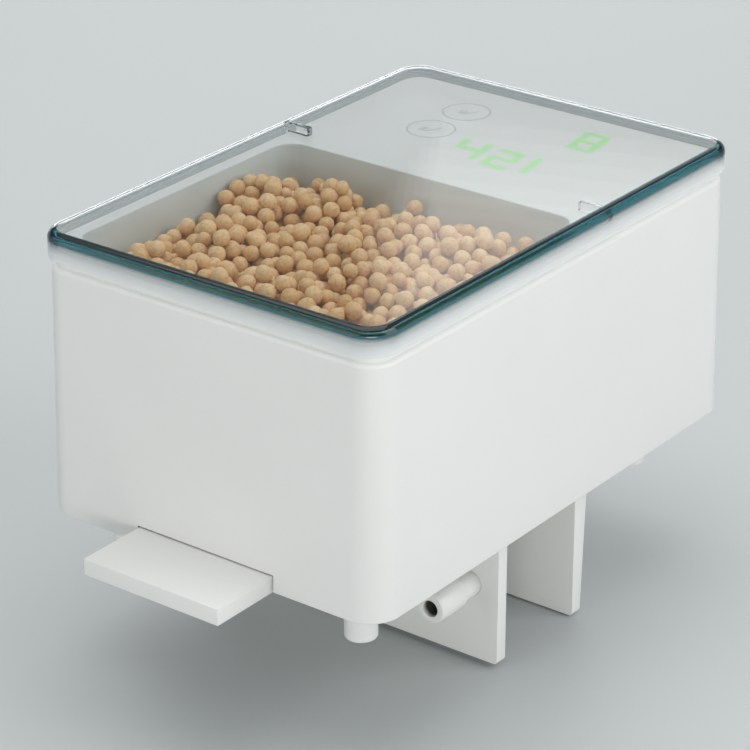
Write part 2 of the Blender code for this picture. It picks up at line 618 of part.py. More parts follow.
def clamp_screws():
    """Hollow-headed screws, each with a rubber tip pad; a screw turns on its pad, about its own axis."""
    front, seat, neck, back = SCREW_FRONT, SCREW_HEAD_BACK, SCREW_NECK, SCREW_BACK
    for word, sx in (("left", -1), ("right", 1)):
        profile = [
            (0.0, front + 14.0), (SCREW_BORE, front + 14.0),
            (SCREW_BORE, front + 0.2), (SCREW_BORE + 0.2, front),
            (SCREW_HEAD_R - 0.35, front), (SCREW_HEAD_R, front + 0.35), (SCREW_HEAD_R, seat - 0.2),
            (SCREW_HEAD_R - 0.2, seat), (SCREW_R, seat), (SCREW_R, neck - 0.3), (SCREW_R - 0.3, neck),
            (SPIGOT_R, neck), (SPIGOT_R, back - 0.2), (SPIGOT_R - 0.2, back), (0.0, back),
        ]
        screw = lathe("clamp_screw_" + word, profile, ABS_WHITE, "white_abs", 28, "Y")
        screw.location = (sx * SCREW_X * MM, 0.0, SCREW_Z * MM)
        cap = [
            (0.0, back + GAP), (SPIGOT_R + GAP, back + GAP),
            (SPIGOT_R + GAP, PAD_BACK), (PAD_R - 0.2, PAD_BACK),
            (PAD_R, PAD_BACK + 0.2), (PAD_R, PAD_FACE - 0.3), (PAD_R - 0.3, PAD_FACE), (0.0, PAD_FACE),
        ]
        pad = lathe("clamp_pad_" + word, cap, RUBBER, "rubber", 28, "Y")
        pad.location = (sx * SCREW_X * MM, 0.0, SCREW_Z * MM)


def electronics():
    board = boxes("control_board", [(-36.0, 36.0, 18.0, 60.0, BOARD_Z0, BOARD_Z1)], BOARD, "board")
    parts = [(-8.0, 2.0, 30.0, 40.0, 54.0, 55.9)]
    parts += [(-30.0, -22.0, 26.0, 31.0, 51.0, 55.9), (8.0, 14.0, 44.0, 52.0, 54.4, 55.9)]
    join(board, boxes("board_parts", parts))
    posts = [(x, y, 0.0) for x in (-33.0, 33.0) for y in (22.0, 56.0)]
    cut(board, drums("board_holes", posts, 1.3, 50.0, 60.0, 12))
    z0, z1 = BOARD_Z1 + GAP, DECK_BOTTOM - GAP
    boxes("digit_module_row", [(-9.5, 19.5, 25.0, 39.5, z0, z1)], LED_FACE, "led_face", 0.2)
    boxes("digit_module_single", [(10.5, 21.7, 45.0, 59.5, z0, z1)], LED_FACE, "led_face", 0.2)
    for k, y in enumerate(KEY_YS):
        lathe("touch_pad_%d" % (k + 1), drum(5.2, z0, z1), COPPER, "copper", 28, "Z", (KEY_X, y, 0.0))
    boxes("home_switch", [(-23.4, -17.6, 4.0, 16.8, 8.2, 14.7)], BLACK, "black_plastic", 0.3)


def battery():
    top = CELL_Z + CELL_R + 0.8
    box = boxes("battery_box", [(-29.0, 29.0, 29.5, 63.5, BASE_T + GAP, top + 1.4)], BLACK, "black_plastic")
    cut(box, boxes("battery_room", [(-27.6, 27.6, 31.0, 62.0, 0.0, top)]))
    for k, y in enumerate(CELL_YS):
        sign = 1 if k else -1
        body = [
            (0.0, -CELL_LEN / 2), (CELL_R - 0.6, -CELL_LEN / 2), (CELL_R, -CELL_LEN / 2 + 0.6),
            (CELL_R, CELL_LEN / 2 - 1.6), (CELL_R - 0.6, CELL_LEN / 2 - 1.0), (2.7, CELL_LEN / 2 - 1.0),
            (2.7, CELL_LEN / 2), (0.0, CELL_LEN / 2),
        ]
        if sign < 0:
            body = [(r, -h) for r, h in reversed(body)]
        lathe("cell_%d" % (k + 1), body, CELL, "cell_sleeve", 24, "X", (0.0, y, CELL_Z))
    ys = (CELL_YS[0] - 6.0, CELL_YS[1] + 6.0)
    boxes("contact_plate_left", [(-27.2, -26.6, *ys, 4.0, 15.0)], STEEL, "steel")
    boxes("contact_plate_right", [(26.6, 27.2, *ys, 4.0, 15.0)], STEEL, "steel")
    panel = (-DOOR_HALF, DOOR_HALF, DOOR_Y0, DOOR_Y1, 0.0, 1.8)
    door = boxes("battery_door", [panel], ABS_WHITE, "white_abs")
    grip = [(-6.0 + 3.0 * k, -4.8 + 3.0 * k, DOOR_Y1 - 7.0, DOOR_Y1 - 3.0, -1.0, 0.5) for k in range(5)]
    cut(door, boxes("door_grip", grip))


def screw_profile(head_r, head_h, shank_r, shank_len):
    """A pan-head screw pointing up, with the underside of its head at height 0."""
    return [
        (0.0, -head_h), (head_r - 0.4, -head_h), (head_r, -head_h + 0.4), (head_r, 0.0),
        (shank_r, 0.0), (shank_r, shank_len - 0.5), (shank_r - 0.5, shank_len), (0.0, shank_len),
    ]


def fasteners():
    bx, by = CORNER_SCREW
    for k, (x, y, z) in enumerate(corners4(bx, by)):
        profile = screw_profile(2.7, 0.9, 0.85, 11.5)
        lathe("base_screw_%d" % (k + 1), profile, STEEL, "steel", 16, "Z", (x, y, 0.7))
    for k, (x, y, z) in enumerate(corners4(*JAW_SCREW)):
        seat = -GAP - FLANGE_T - GAP
        profile = screw_profile(2.8, 1.6, 1.2, 10.0)
        lathe("jaw_screw_%d" % (k + 1), profile, STEEL, "steel", 16, "Z", (x, y, seat))
    posts = [(x, y) for x in (-33.0, 33.0) for y in (22.0, 56.0)]
    for k, (x, y) in enumerate(posts):
        profile = screw_profile(2.0, 1.2, 0.65, 4.2)
        lathe("board_screw_%d" % (k + 1), profile, STEEL, "steel", 14, "Z", (x, y, BOARD_Z0 - GAP))
    for k, y in enumerate((-6.5, 15.6)):
        profile = [(r, -h) for r, h in reversed(screw_profile(2.0, 1.2, 0.85, 3.6))]
        seat = BASE_T + GAP + 1.8 + GAP
        lathe("bracket_screw_%d" % (k + 1), profile, STEEL, "steel", 14, "Z", (27.2, y, seat))


def build():
    clear_scene()
    housing()
    deck()
    hopper_bin()
    food_bed()
    lid()
    base_plate()
    feet()
    feed_slide()
    feed_rack()
    drive()
    guide_rails()
    jaws()
    clamp_screws()
    electronics()
    battery()
    fasteners()
    bpy.context.view_layer.update()


build()
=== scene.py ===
"""Looks of an automatic fish feeder: drafted white case, clear lid over loose feed, feed slide and rim clamp.

Shapes are worked out in millimetres in the row frame: +Z up, feed side toward -Y.
"""
import json
import math

import bmesh
import bpy
import numpy as np
from mathutils import Matrix, Vector


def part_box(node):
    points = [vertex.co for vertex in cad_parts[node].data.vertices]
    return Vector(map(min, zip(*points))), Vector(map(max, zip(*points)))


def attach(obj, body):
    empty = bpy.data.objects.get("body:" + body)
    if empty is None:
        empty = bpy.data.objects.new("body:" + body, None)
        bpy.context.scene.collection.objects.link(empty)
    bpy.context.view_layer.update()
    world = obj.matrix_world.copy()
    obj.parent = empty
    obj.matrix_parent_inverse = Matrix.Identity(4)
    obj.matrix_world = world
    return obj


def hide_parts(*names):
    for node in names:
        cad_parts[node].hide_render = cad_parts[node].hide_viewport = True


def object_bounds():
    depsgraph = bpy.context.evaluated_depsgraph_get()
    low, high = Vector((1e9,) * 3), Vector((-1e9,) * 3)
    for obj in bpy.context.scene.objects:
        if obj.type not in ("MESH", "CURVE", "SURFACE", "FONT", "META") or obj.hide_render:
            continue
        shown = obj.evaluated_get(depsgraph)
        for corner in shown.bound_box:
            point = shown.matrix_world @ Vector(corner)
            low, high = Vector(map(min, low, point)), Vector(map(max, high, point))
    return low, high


MM = 0.001
CORNER_STEPS = 18
MIX_FACTOR, MIX_A, MIX_B, MIX_RESULT = 0, 6, 7, 2  # sockets of a Mix node set to colours

# Case, deck and bin
DRAFT, CASE_R, WALL = 1.0, 6.5, 2.3
SHOULDER_Z, SHOULDER_R, COLLAR_INSET, COLLAR_WALL = 58.1, 0.9, 1.5, 1.8
COLLAR_FOOT_Z, WALL_TOP_Z = 55.0, 53.0
DECK_R, DECK_EDGE, DECK_T = 5.0, 0.4, 2.0
SLOT_HALF, SLOT_TOP = 18.7, 4.15
HOPPER_HALF_X, HOPPER_HALF_Y, HOPPER_Y, HOPPER_R, LINER = 40.0, 36.7, -25.1, 5.0, 0.35
BIN_WALL, FUNNEL_TOP_Z = 1.2, 36.0
OUTLET_HALF_X, OUTLET_HALF_Y, OUTLET_Y, OUTLET_TOP_Z = 14.0, 6.0, -38.5, 9.6

# Touch keys and display: places on the deck, and how far they reach above and below its top
KEY_X, KEY_RING, KEY_LINE, KEY_RISE, KEY_DEPTH = -18.2, 5.85, 0.45, 0.015, 0.2
KEYS = (
    ("feed", 37.5, ((-2.4, -1.6, -0.4, -1.6), (-0.4, -1.6, 1.9, 2.0)), ((-1.6, -0.4, 0.8),)),
    ("menu", 51.6, ((-2.0, -1.3, 0.4, -1.3), (0.4, -1.3, 2.2, 1.7)), ((-0.6, -0.2, 0.9),)),
)
DIGIT_LEAN = 0.14
STROKE_CORE, STROKE_REACH = 0.1, 1.75
WINDOW_CELL, WINDOW_RISE, WINDOW_DEPTH = 0.25, 0.012, 0.3
DIGITS = {
    "row": (("4", -3.6, 32.4, 6.0, 9.0), ("2", 6.1, 31.5, 5.4, 9.2), ("1", 13.6, 31.9, 0.0, 8.6)),
    "single": (("8", 15.9, 52.0, 5.2, 9.6),),
}
STROKES_OF = {"8": "abcdefg", "4": "bcfg", "2": "abdeg", "1": "bc"}

# Lid
LID_R, LID_PLATE, LID_WALL, LID_EDGE, LID_INNER_EDGE, LID_RIM_R = 6.8, 1.5, 1.1, 2.0, 0.9, 0.2
RIB_Y, RIB_WIDTH, RIB_LENGTH, RIB_BOTTOM, RIB_LEG = 16.4, 1.8, 7.2, 62.8, 0.65

# Feed
PELLET_R, PELLET_SPREAD, PELLET_COUNT, BED_FLOOR, BED_HIDDEN = 1.9, 0.09, 1120, 46.9, 2.5

# Feed slide and clamp
HOOD_BACK, HOOD_T, TRAY_Z0, POCKET_HALF, POCKET_LEN = -62.5, 3.8, 2.3, 14.0, 12.0
FLANGE_T, JAW_R, FLANGE_OVERLAP = 2.5, 0.8, 0.5
JAW_FACES = {"front": -13.0, "rear": 13.7}
JAW_TIP, JAW_ROOT = 3.2, {"front": 3.2, "rear": 4.8}
SCREW_X, SCREW_Z, SCREW_R, SCREW_BORE, THREAD_PITCH = 32.4, -15.7, 3.0, 1.9, 2.0
SCREW_HEAD_R, SCREW_HEAD_LEN, SPIGOT_R, SPIGOT_LEN = 3.6, 9.3, 2.2, 2.7
BORE_DEPTH, THREAD_START, THREAD_DEPTH, THREAD_ROW = 14.0, 6.2, 0.45, 0.16
PAD_RINGS, PAD_FLOOR = (2.4, 1.5), 1.0
JAW_SCREW, JAW_SCREW_HOLE = (28.0, 22.1), 1.6
FOOT_SEAT, FOOT_SPIGOT_R = -0.3, 2.0
GRIP_COUNT, GRIP_X, GRIP_PITCH, GRIP_WIDTH = 5, -6.0, 3.0, 1.2

# Camera, in degrees and metres
AZIMUTH, ELEVATION, DISTANCE = 37.075, 25.036, 0.7173
AIM_RIGHT, AIM_UP, LENS, SENSOR = -0.0049, 0.0179, 150.84, 36.0

# Studio in metres: lights as name, place, size, power and colour, all aimed at the origin
LIGHTS = (
    ("key_right", (0.95, 0.34, 0.54), (0.9, 0.9), 5.2, (1.0, 0.995, 0.99)),
    ("top_soft", (-0.15, 0.1, 1.2), (1.2, 1.2), 7.0, (1.0, 1.0, 1.0)),
    ("fill_front", (-0.42, -1.15, 0.28), (1.0, 0.6), 1.7, (1.0, 0.985, 0.95)),
    ("low_right", (0.77, -0.9, 0.05), (0.7, 0.25), 4.6, (1.0, 0.99, 0.97)),
    ("rim_back", (-0.98, 1.22, 0.27), (0.95, 0.5), 4.2, (1.0, 1.0, 1.0)),
)
# Staggered panels behind the object, whose reflection lies as a soft haze on the lid's front right
HAZE_COUNT, HAZE_POWER, HAZE_SIZE, HAZE_RADIUS = 8, 1.6, (1.0, 0.6), 1.56
HAZE_TURN, HAZE_TURN_STEP, HAZE_HEIGHT, HAZE_HEIGHT_STEP = 19.2, 0.31, 0.97, 0.012
FLOOR_RADIUS, FLOOR_GAP = 4.0, 0.0004
# Sky colour by the sine of the height angle: darker in the band that the lid mirrors, so it stays clear
SKY_STRENGTH = 0.75
SKY = (
    (0.17, (0.60, 0.63, 0.63)), (0.27, (0.13, 0.15, 0.155)),
    (0.42, (0.13, 0.15, 0.155)), (0.78, (0.86, 0.89, 0.89)),
)


def span(node):
    """Lowest and highest corner of a CAD node, in millimetres."""
    low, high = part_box(node)
    return low / MM, high / MM


# ---------------------------------------------------------------- materials


def new_material(name):
    mat = bpy.data.materials.new(name)
    mat.use_nodes = True
    return mat, mat.node_tree, mat.node_tree.nodes["Principled BSDF"]


def noise(tree, scale, detail=3.0, stretch=None):
    """Noise over the row frame; scale is in features per metre."""
    source = tree.nodes.new("ShaderNodeTexCoord").outputs["Object"]
    if stretch:
        mapping = tree.nodes.new("ShaderNodeMapping")
        mapping.inputs["Scale"].default_value = stretch
        tree.links.new(source, mapping.inputs["Vector"])
        source = mapping.outputs["Vector"]
    tex = tree.nodes.new("ShaderNodeTexNoise")
    tex.inputs["Scale"].default_value = scale
    tex.inputs["Detail"].default_value = detail
    tree.links.new(source, tex.inputs["Vector"])
    return tex.outputs["Fac"]


def ramp(tree, source, low, high, start=0.3, stop=0.7):
    """Colour that runs from low to high as source runs from start to stop."""
    node = tree.nodes.new("ShaderNodeValToRGB")
    node.color_ramp.elements[0].position = start
    node.color_ramp.elements[0].color = (*low, 1.0)
    node.color_ramp.elements[1].position = stop
    node.color_ramp.elements[1].color = (*high, 1.0)
    tree.links.new(source, node.inputs["Fac"])
    return node.outputs["Color"]


def rescale(tree, source, low, high):
    """Number that runs from low to high over the usual range of a noise."""
    node = tree.nodes.new("ShaderNodeMapRange")
    node.inputs["From Min"].default_value = 0.3
    node.inputs["From Max"].default_value = 0.7
    node.inputs["To Min"].default_value = low
    node.inputs["To Max"].default_value = high
    tree.links.new(source, node.inputs["Value"])
    return node.outputs["Result"]


def bump(tree, source, shader, depth_mm, strength=1.0):
    node = tree.nodes.new("ShaderNodeBump")
    node.inputs["Distance"].default_value = depth_mm * MM
    node.inputs["Strength"].default_value = strength
    tree.links.new(source, node.inputs["Height"])
    tree.links.new(node.outputs["Normal"], shader.inputs["Normal"])


def tint(colour, factor):
    return tuple(min(1.0, c * factor) for c in colour)


def painted(tree, name):
    """The number painted on the mesh under this name, nought where there is none."""
    node = tree.nodes.new("ShaderNodeAttribute")
    node.attribute_name = name
    return node.outputs["Fac"]


def colour_mix(tree, first, blend_type="MIX"):
    """Mix node for colours with first as its colour A; returns its sockets Factor, B and Result."""
    node = tree.nodes.new("ShaderNodeMix")
    node.data_type = "RGBA"
    node.blend_type = blend_type
    tree.links.new(first, node.inputs[MIX_A])
    return node.inputs[MIX_FACTOR], node.inputs[MIX_B], node.outputs[MIX_RESULT]


def multiplied(tree, first, second):
    factor, upper, result = colour_mix(tree, first, "MULTIPLY")
    factor.default_value = 1.0
    tree.links.new(second, upper)
    return result


def moulded(name, colour, rough, spread=0.02, grain=1400.0, depth_mm=0.012, metallic=0.0):
    """Moulded plastic or rubber: slight shade drift, uneven gloss and a fine spark-eroded grain.

    Where a mesh is marked for it, as in a blind bore, the plastic is darkened with painted shade for the
    unlit inside of the hollow.
    """
    mat, tree, shader = new_material(name)
    drift = noise(tree, 28.0, 2.0)
    clean = ramp(tree, drift, tint(colour, 1 - spread), tint(colour, 1 + spread))
    # Painted shade: the marked inside of a bore is darkened towards near black.
    bore_shade_colour = ramp(tree, painted(tree, "painted_bore_shade"), (1.0, 1.0, 1.0), (0.10, 0.09, 0.075), 0.0, 1.0)
    tree.links.new(multiplied(tree, clean, bore_shade_colour), shader.inputs["Base Color"])
    tree.links.new(rescale(tree, noise(tree, 160.0), rough - 0.05, rough + 0.05), shader.inputs["Roughness"])
    bump(tree, noise(tree, grain, 2.0), shader, depth_mm)
    shader.inputs["Metallic"].default_value = metallic
    return mat


def brushed(name, colour, rough, stretch):
    """Metal with fine drawn lines along one direction."""
    mat, tree, shader = new_material(name)
    lines = noise(tree, 900.0, 4.0, stretch)
    tree.links.new(ramp(tree, lines, tint(colour, 0.82), tint(colour, 1.1)), shader.inputs["Base Color"])
    tree.links.new(rescale(tree, lines, rough - 0.08, rough + 0.1), shader.inputs["Roughness"])
    shader.inputs["Metallic"].default_value = 1.0
    bump(tree, lines, shader, 0.008)
    return mat


def shader_mix(tree, share, first, second):
    node = tree.nodes.new("ShaderNodeMixShader")
    tree.links.new(share, node.inputs[0])
    tree.links.new(first, node.inputs[1])
    tree.links.new(second, node.inputs[2])
    return node.outputs[0]


def clear_plastic():
    """Polished clear plastic, dark teal by painted shade where its edges are marked, and matte where painted
    frost.

    Light that falls on what lies under it passes straight through, so it casts no shadow.
    """
    mat, tree, shader = new_material("clear_plastic")
    # Painted shade: marked edges pass light as near-black teal, for the dark surroundings seen through the
    # thick edges.
    edge_shade_colour = ramp(tree, painted(tree, "edge_shade_and_recess_floor"), (1.0, 1.0, 1.0), (0.002, 0.03, 0.042), 0.0, 1.0)
    tree.links.new(edge_shade_colour, shader.inputs["Base Color"])
    shader.inputs["Transmission Weight"].default_value = 1.0
    shader.inputs["IOR"].default_value = 1.49
    tree.links.new(rescale(tree, noise(tree, 220.0), 0.0, 0.02), shader.inputs["Roughness"])
    matte = tree.nodes.new("ShaderNodeBsdfDiffuse")
    matte.inputs["Color"].default_value = (0.80, 0.82, 0.82, 1.0)
    seen = shader_mix(tree, painted(tree, "frost"), shader.outputs["BSDF"], matte.outputs["BSDF"])
    through = tree.nodes.new("ShaderNodeBsdfTransparent")
    through.inputs["Color"].default_value = (0.95, 0.955, 0.955, 1.0)
    rays = tree.nodes.new("ShaderNodeLightPath")
    lighting = tree.nodes.new("ShaderNodeMath")
    lighting.operation = "MAXIMUM"
    tree.links.new(rays.outputs["Is Shadow Ray"], lighting.inputs[0])
    tree.links.new(rays.outputs["Is Diffuse Ray"], lighting.inputs[1])
    surface = shader_mix(tree, lighting.outputs["Value"], seen, through.outputs["BSDF"])
    output = tree.nodes["Material Output"]
    tree.links.new(surface, output.inputs["Surface"])
    absorb = tree.nodes.new("ShaderNodeVolumeAbsorption")
    absorb.inputs["Color"].default_value = (0.25, 0.48, 0.50, 1.0)
    absorb.inputs["Density"].default_value = 30.0
    tree.links.new(absorb.outputs["Volume"], output.inputs["Volume"])
    return mat


def pellet_material():
    """Baked feed: each pellet has its own tone, with darker specks and a dry, finely pitted skin."""
    mat, tree, shader = new_material("fish_food")
    own = ramp(tree, painted(tree, "tone"), (0.78, 0.475, 0.215), (0.95, 0.67, 0.38), 0.0, 1.0)
    specks = ramp(tree, noise(tree, 1500.0, 4.0), (0.80, 0.76, 0.70), (1.0, 1.0, 1.0), 0.32, 0.52)
    tree.links.new(multiplied(tree, own, specks), shader.inputs["Base Color"])
    tree.links.new(rescale(tree, noise(tree, 700.0), 0.5, 0.7), shader.inputs["Roughness"])
    bump(tree, noise(tree, 2600.0, 3.0), shader, 0.05, 0.8)
    return mat


def glow_material(white):
    """White case plastic that the display lights from below; where glow is nought it is the plain case."""
    mat = white.copy()
    mat.name = "display_glow"
    tree = mat.node_tree
    shader = tree.nodes["Principled BSDF"]
    glow = painted(tree, "glow")
    factor, lit, result = colour_mix(tree, shader.inputs["Base Color"].links[0].from_socket)
    tree.links.new(glow, factor)
    lit.default_value = (0.42, 0.80, 0.34, 1.0)
    tree.links.new(result, shader.inputs["Base Color"])
    shader.inputs["Emission Color"].default_value = (0.30, 1.0, 0.25, 1.0)
    power = tree.nodes.new("ShaderNodeMapRange")
    power.inputs["To Max"].default_value = 0.09
    tree.links.new(glow, power.inputs["Value"])
    tree.links.new(power.outputs["Result"], shader.inputs["Emission Strength"])
    return mat


def board_material():
    """Green solder mask over faint copper runs."""
    mat, tree, shader = new_material("board")
    runs = noise(tree, 420.0, 0.0, (1.0, 6.0, 1.0))
    mask = ramp(tree, runs, (0.012, 0.10, 0.04), (0.03, 0.22, 0.08), 0.47, 0.53)
    tree.links.new(mask, shader.inputs["Base Color"])
    tree.links.new(rescale(tree, noise(tree, 300.0), 0.3, 0.45), shader.inputs["Roughness"])
    bump(tree, runs, shader, 0.03)
    return mat


def make_materials():
    white = moulded("white_abs", (0.80, 0.80, 0.785), 0.33, 0.012, 1500.0, 0.006)
    return {
        "white_abs": white,
        "grey_abs": moulded("grey_abs", (0.74, 0.82, 0.85), 0.42, 0.02, 1500.0, 0.008),
        "clear_plastic": clear_plastic(),
        "acetal": moulded("acetal", (0.82, 0.80, 0.72), 0.34, 0.02),
        "rubber": moulded("rubber", (0.045, 0.045, 0.047), 0.78, 0.15, 2200.0, 0.03),
        "steel": brushed("steel", (0.60, 0.60, 0.61), 0.30, (1.0, 14.0, 14.0)),
        "brass": brushed("brass", (0.70, 0.50, 0.20), 0.32, (14.0, 1.0, 14.0)),
        "copper": brushed("copper", (0.78, 0.42, 0.26), 0.34, (10.0, 1.0, 10.0)),
        "board": board_material(),
        "led_face": moulded("led_face", (0.10, 0.12, 0.10), 0.35, 0.05),
        "black_plastic": moulded("black_plastic", (0.028, 0.028, 0.03), 0.5, 0.1, 1800.0, 0.02),
        "cell_sleeve": moulded("cell_sleeve", (0.07, 0.22, 0.15), 0.28, 0.06),
        "key_line": moulded("key_line", (0.58, 0.59, 0.60), 0.45, 0.03),
        "fish_food": pellet_material(),
        "display_glow": glow_material(white),
    }


# ---------------------------------------------------------------- mesh tools


def outline(half_x, half_y, radius, z, cy=0.0, steps=CORNER_STEPS):
    """Rounded rectangle, counter-clockwise seen from above."""
    points = []
    for quarter, (sx, sy) in enumerate(((1, 1), (-1, 1), (-1, -1), (1, -1))):
        for step in range(steps):
            angle = math.pi / 2 * (quarter + step / (steps - 1))
            x = sx * (half_x - radius) + radius * math.cos(angle)
            y = cy + sy * (half_y - radius) + radius * math.sin(angle)
            points.append((x, y, z))
    return points


def rings_in(half_x, half_y, radius, profile, cy=0.0):
    """One rounded rectangle for each (inset, z) of the profile."""
    return [outline(half_x - d, half_y - d, max(radius - d, 0.3), z, cy) for d, z in profile]


def fillet(inset, z, radius, start_deg, stop_deg, steps=6):
    """(inset, z) points round an arc, whose angle 0 points outward and 90 up."""
    points = []
    for k in range(steps + 1):
        angle = math.radians(start_deg + (stop_deg - start_deg) * k / steps)
        points.append((inset - radius * math.cos(angle), z + radius * math.sin(angle)))
    return points


def to_object(name, bm, mat, angle=32.0):
    bmesh.ops.recalc_face_normals(bm, faces=bm.faces)
    mesh = bpy.data.meshes.new(name)
    bm.to_mesh(mesh)
    bm.free()
    mesh.transform(Matrix.Scale(MM, 4))
    obj = bpy.data.objects.new(name, mesh)
    bpy.context.scene.collection.objects.link(obj)
    if mat:
        mesh.materials.append(mat)
    soften(obj, angle)
    return obj


def soften(obj, angle=32.0):
    obj.data.shade_smooth()
    obj.data.set_sharp_from_angle(angle=math.radians(angle))


def skin(bm, rings, closed=False):
    """Quads between neighbouring rings, returning the rows of their points.

    When closed, the last ring joins the first, and otherwise both ends are capped.
    """
    rows = [[bm.verts.new(p) for p in ring] for ring in rings]
    pairs = list(zip(rows, rows[1:]))
    if closed:
        pairs.append((rows[-1], rows[0]))
    count = len(rows[0])
    for low, high in pairs:
        for k in range(count):
            n = (k + 1) % count
            bm.faces.new((low[k], low[n], high[n], high[k]))
    if not closed:
        bm.faces.new(list(reversed(rows[0])))
        bm.faces.new(rows[-1])
    return rows


def lofted(name, rings, mat, closed=False, angle=32.0):
    bm = bmesh.new()
    skin(bm, rings, closed)
    return to_object(name, bm, mat, angle)


def turned(bm, profile, steps, axis, centre):
    """Body of revolution from (radius, height) points, a loop or a line with both ends on the axis."""
    rows = []
    for radius, height in profile:
        row = []
        for k in range(1 if radius < 1e-6 else steps):
            angle = 2 * math.pi * k / steps
            u, v = radius * math.cos(angle), radius * math.sin(angle)
            local = {"X": (height, u, v), "Y": (v, height, u), "Z": (u, v, height)}[axis]
            row.append(bm.verts.new(Vector(local) + Vector(centre)))
        rows.append(row)
    pairs = list(zip(rows, rows[1:]))
    if len(rows[0]) > 1:
        pairs.append((rows[-1], rows[0]))
    for low, high in pairs:
        for k in range(steps):
            n = (k + 1) % steps
            if len(low) == 1:
                bm.faces.new((low[0], high[n], high[k]))
            elif len(high) == 1:
                bm.faces.new((low[k], low[n], high[0]))
            else:
                bm.faces.new((low[k], low[n], high[n], high[k]))


def lathe(name, profile, mat, axis="Z", centre=(0.0, 0.0, 0.0), steps=64):
    bm = bmesh.new()
    turned(bm, profile, steps, axis, centre)
    return to_object(name, bm, mat)


def add_box(bm, x0, x1, y0, y1, z0, z1):
    corners = [bm.verts.new((x, y, z)) for z in (z0, z1) for y in (y0, y1) for x in (x0, x1)]
    for quad in ((0, 2, 3, 1), (4, 5, 7, 6), (0, 1, 5, 4), (2, 6, 7, 3), (1, 3, 7, 5), (0, 4, 6, 2)):
        bm.faces.new([corners[k] for k in quad])


def box_tool(spans):
    bm = bmesh.new()
    for extent in spans:
        add_box(bm, *extent)
    return to_object("tool", bm, None)


def drum_tool(places, radius, low, high, steps=48, axis="Z"):
    bm = bmesh.new()
    for place in places:
        turned(bm, [(0.0, low), (radius, low), (radius, high), (0.0, high)], steps, axis, place)
    return to_object("tool", bm, None)


def shaped(obj, cuts=(), unions=(), bevel_mm=0.0, segments=3, angle=32.0):
    """Adds and cuts tool shapes, rounds the edges that are left and keeps only the result."""
    mat = obj.data.materials[0]
    for operation, tools in (("UNION", unions), ("DIFFERENCE", cuts)):
        for tool in tools:
            step = obj.modifiers.new("step", "BOOLEAN")
            step.operation = operation
            step.solver = "EXACT"
            step.object = tool
    if bevel_mm:
        edge = obj.modifiers.new("edge", "BEVEL")
        edge.width = bevel_mm * MM
        edge.segments = segments
        edge.limit_method = "ANGLE"
        edge.angle_limit = math.radians(50.0)
        edge.harden_normals = False
    bpy.context.view_layer.update()
    graph = bpy.context.evaluated_depsgraph_get()
    mesh = bpy.data.meshes.new_from_object(obj.evaluated_get(graph), depsgraph=graph)
    mesh.name = obj.name
    obj.modifiers.clear()
    obj.data = mesh
    for tool in (*unions, *cuts):
        bpy.data.objects.remove(tool, do_unlink=True)
    mesh.materials.clear()
    mesh.materials.append(mat)
    soften(obj, angle)
    return obj


def place(obj, body, slot, *nodes):
    """Lets a piece ride on a body, in place of the CAD nodes named; slot is not used."""
    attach(obj, body)
    if nodes:
        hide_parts(*nodes)
    return obj


# ---------------------------------------------------------------- case, deck, hopper


def housing_shell(mats):
    """Drafted walls with a rounded shoulder and a collar, and the slot that the feed slide comes out of."""
    low, high = span("housing")
    half_x, half_y = high.x - DRAFT, high.y - DRAFT
    profile = fillet(0.4 - DRAFT, 0.4, 0.4, -90, 0, 4)
    profile += fillet(SHOULDER_R, SHOULDER_Z - SHOULDER_R, SHOULDER_R, 0, 90, 8)
    profile += fillet(COLLAR_INSET - 0.2, SHOULDER_Z + 0.2, -0.2, 90, 0, 4)
    profile += fillet(COLLAR_INSET + 0.25, high.z - 0.25, 0.25, 0, 90, 4)
    inner = COLLAR_INSET + COLLAR_WALL
    profile += [(inner - 0.2, high.z), (inner, high.z - 0.2), (inner, COLLAR_FOOT_Z)]
    profile += [(WALL, WALL_TOP_Z), (WALL - DRAFT, 0.0)]
    obj = lofted("housing_shell", rings_in(half_x, half_y, CASE_R, profile), mats["white_abs"], True)
    slot = box_tool([(-SLOT_HALF, SLOT_HALF, low.y - 4, low.y + 4, -1.0, SLOT_TOP)])
    shaped(obj, cuts=[slot], angle=28)
    return place(obj, "body", "white_abs", "housing")


def deck_cover(mats):
    """Top plate with a rounded edge and the opening of the bin."""
    half_x, half_y, top = span("deck")[1]
    under = top - DECK_T
    profile = [(0.25, under)] + fillet(0.2, under + 0.2, 0.2, -60, 0, 3)
    profile += fillet(DECK_EDGE, top - DECK_EDGE, DECK_EDGE, 0, 90, 8)
    rings = rings_in(half_x, half_y, DECK_R, profile)
    mouth = [(-LINER - 0.12, top), (-LINER, top - 0.12), (-LINER, under)]
    rings += rings_in(HOPPER_HALF_X, HOPPER_HALF_Y, HOPPER_R, mouth, HOPPER_Y)
    obj = lofted("deck_cover", rings, mats["white_abs"], True, 28)
    return place(obj, "body", "white_abs", "deck")


def flat_stroke(bm, start, stop, half, low, high):
    """Bar with round ends from one point to another, seen from above, with a slightly narrower top."""
    start, stop = Vector(start), Vector(stop)
    heading = math.atan2(stop.y - start.y, stop.x - start.x)
    rings = []
    for r, z in ((half, low), (half, high - 0.01), (half - 0.02, high)):
        ring = []
        for end, turn in ((stop, heading - math.pi / 2), (start, heading + math.pi / 2)):
            for k in range(9):
                angle = turn + math.pi * k / 8
                ring.append((end.x + r * math.cos(angle), end.y + r * math.sin(angle), z))
        rings.append(ring)
    skin(bm, rings)


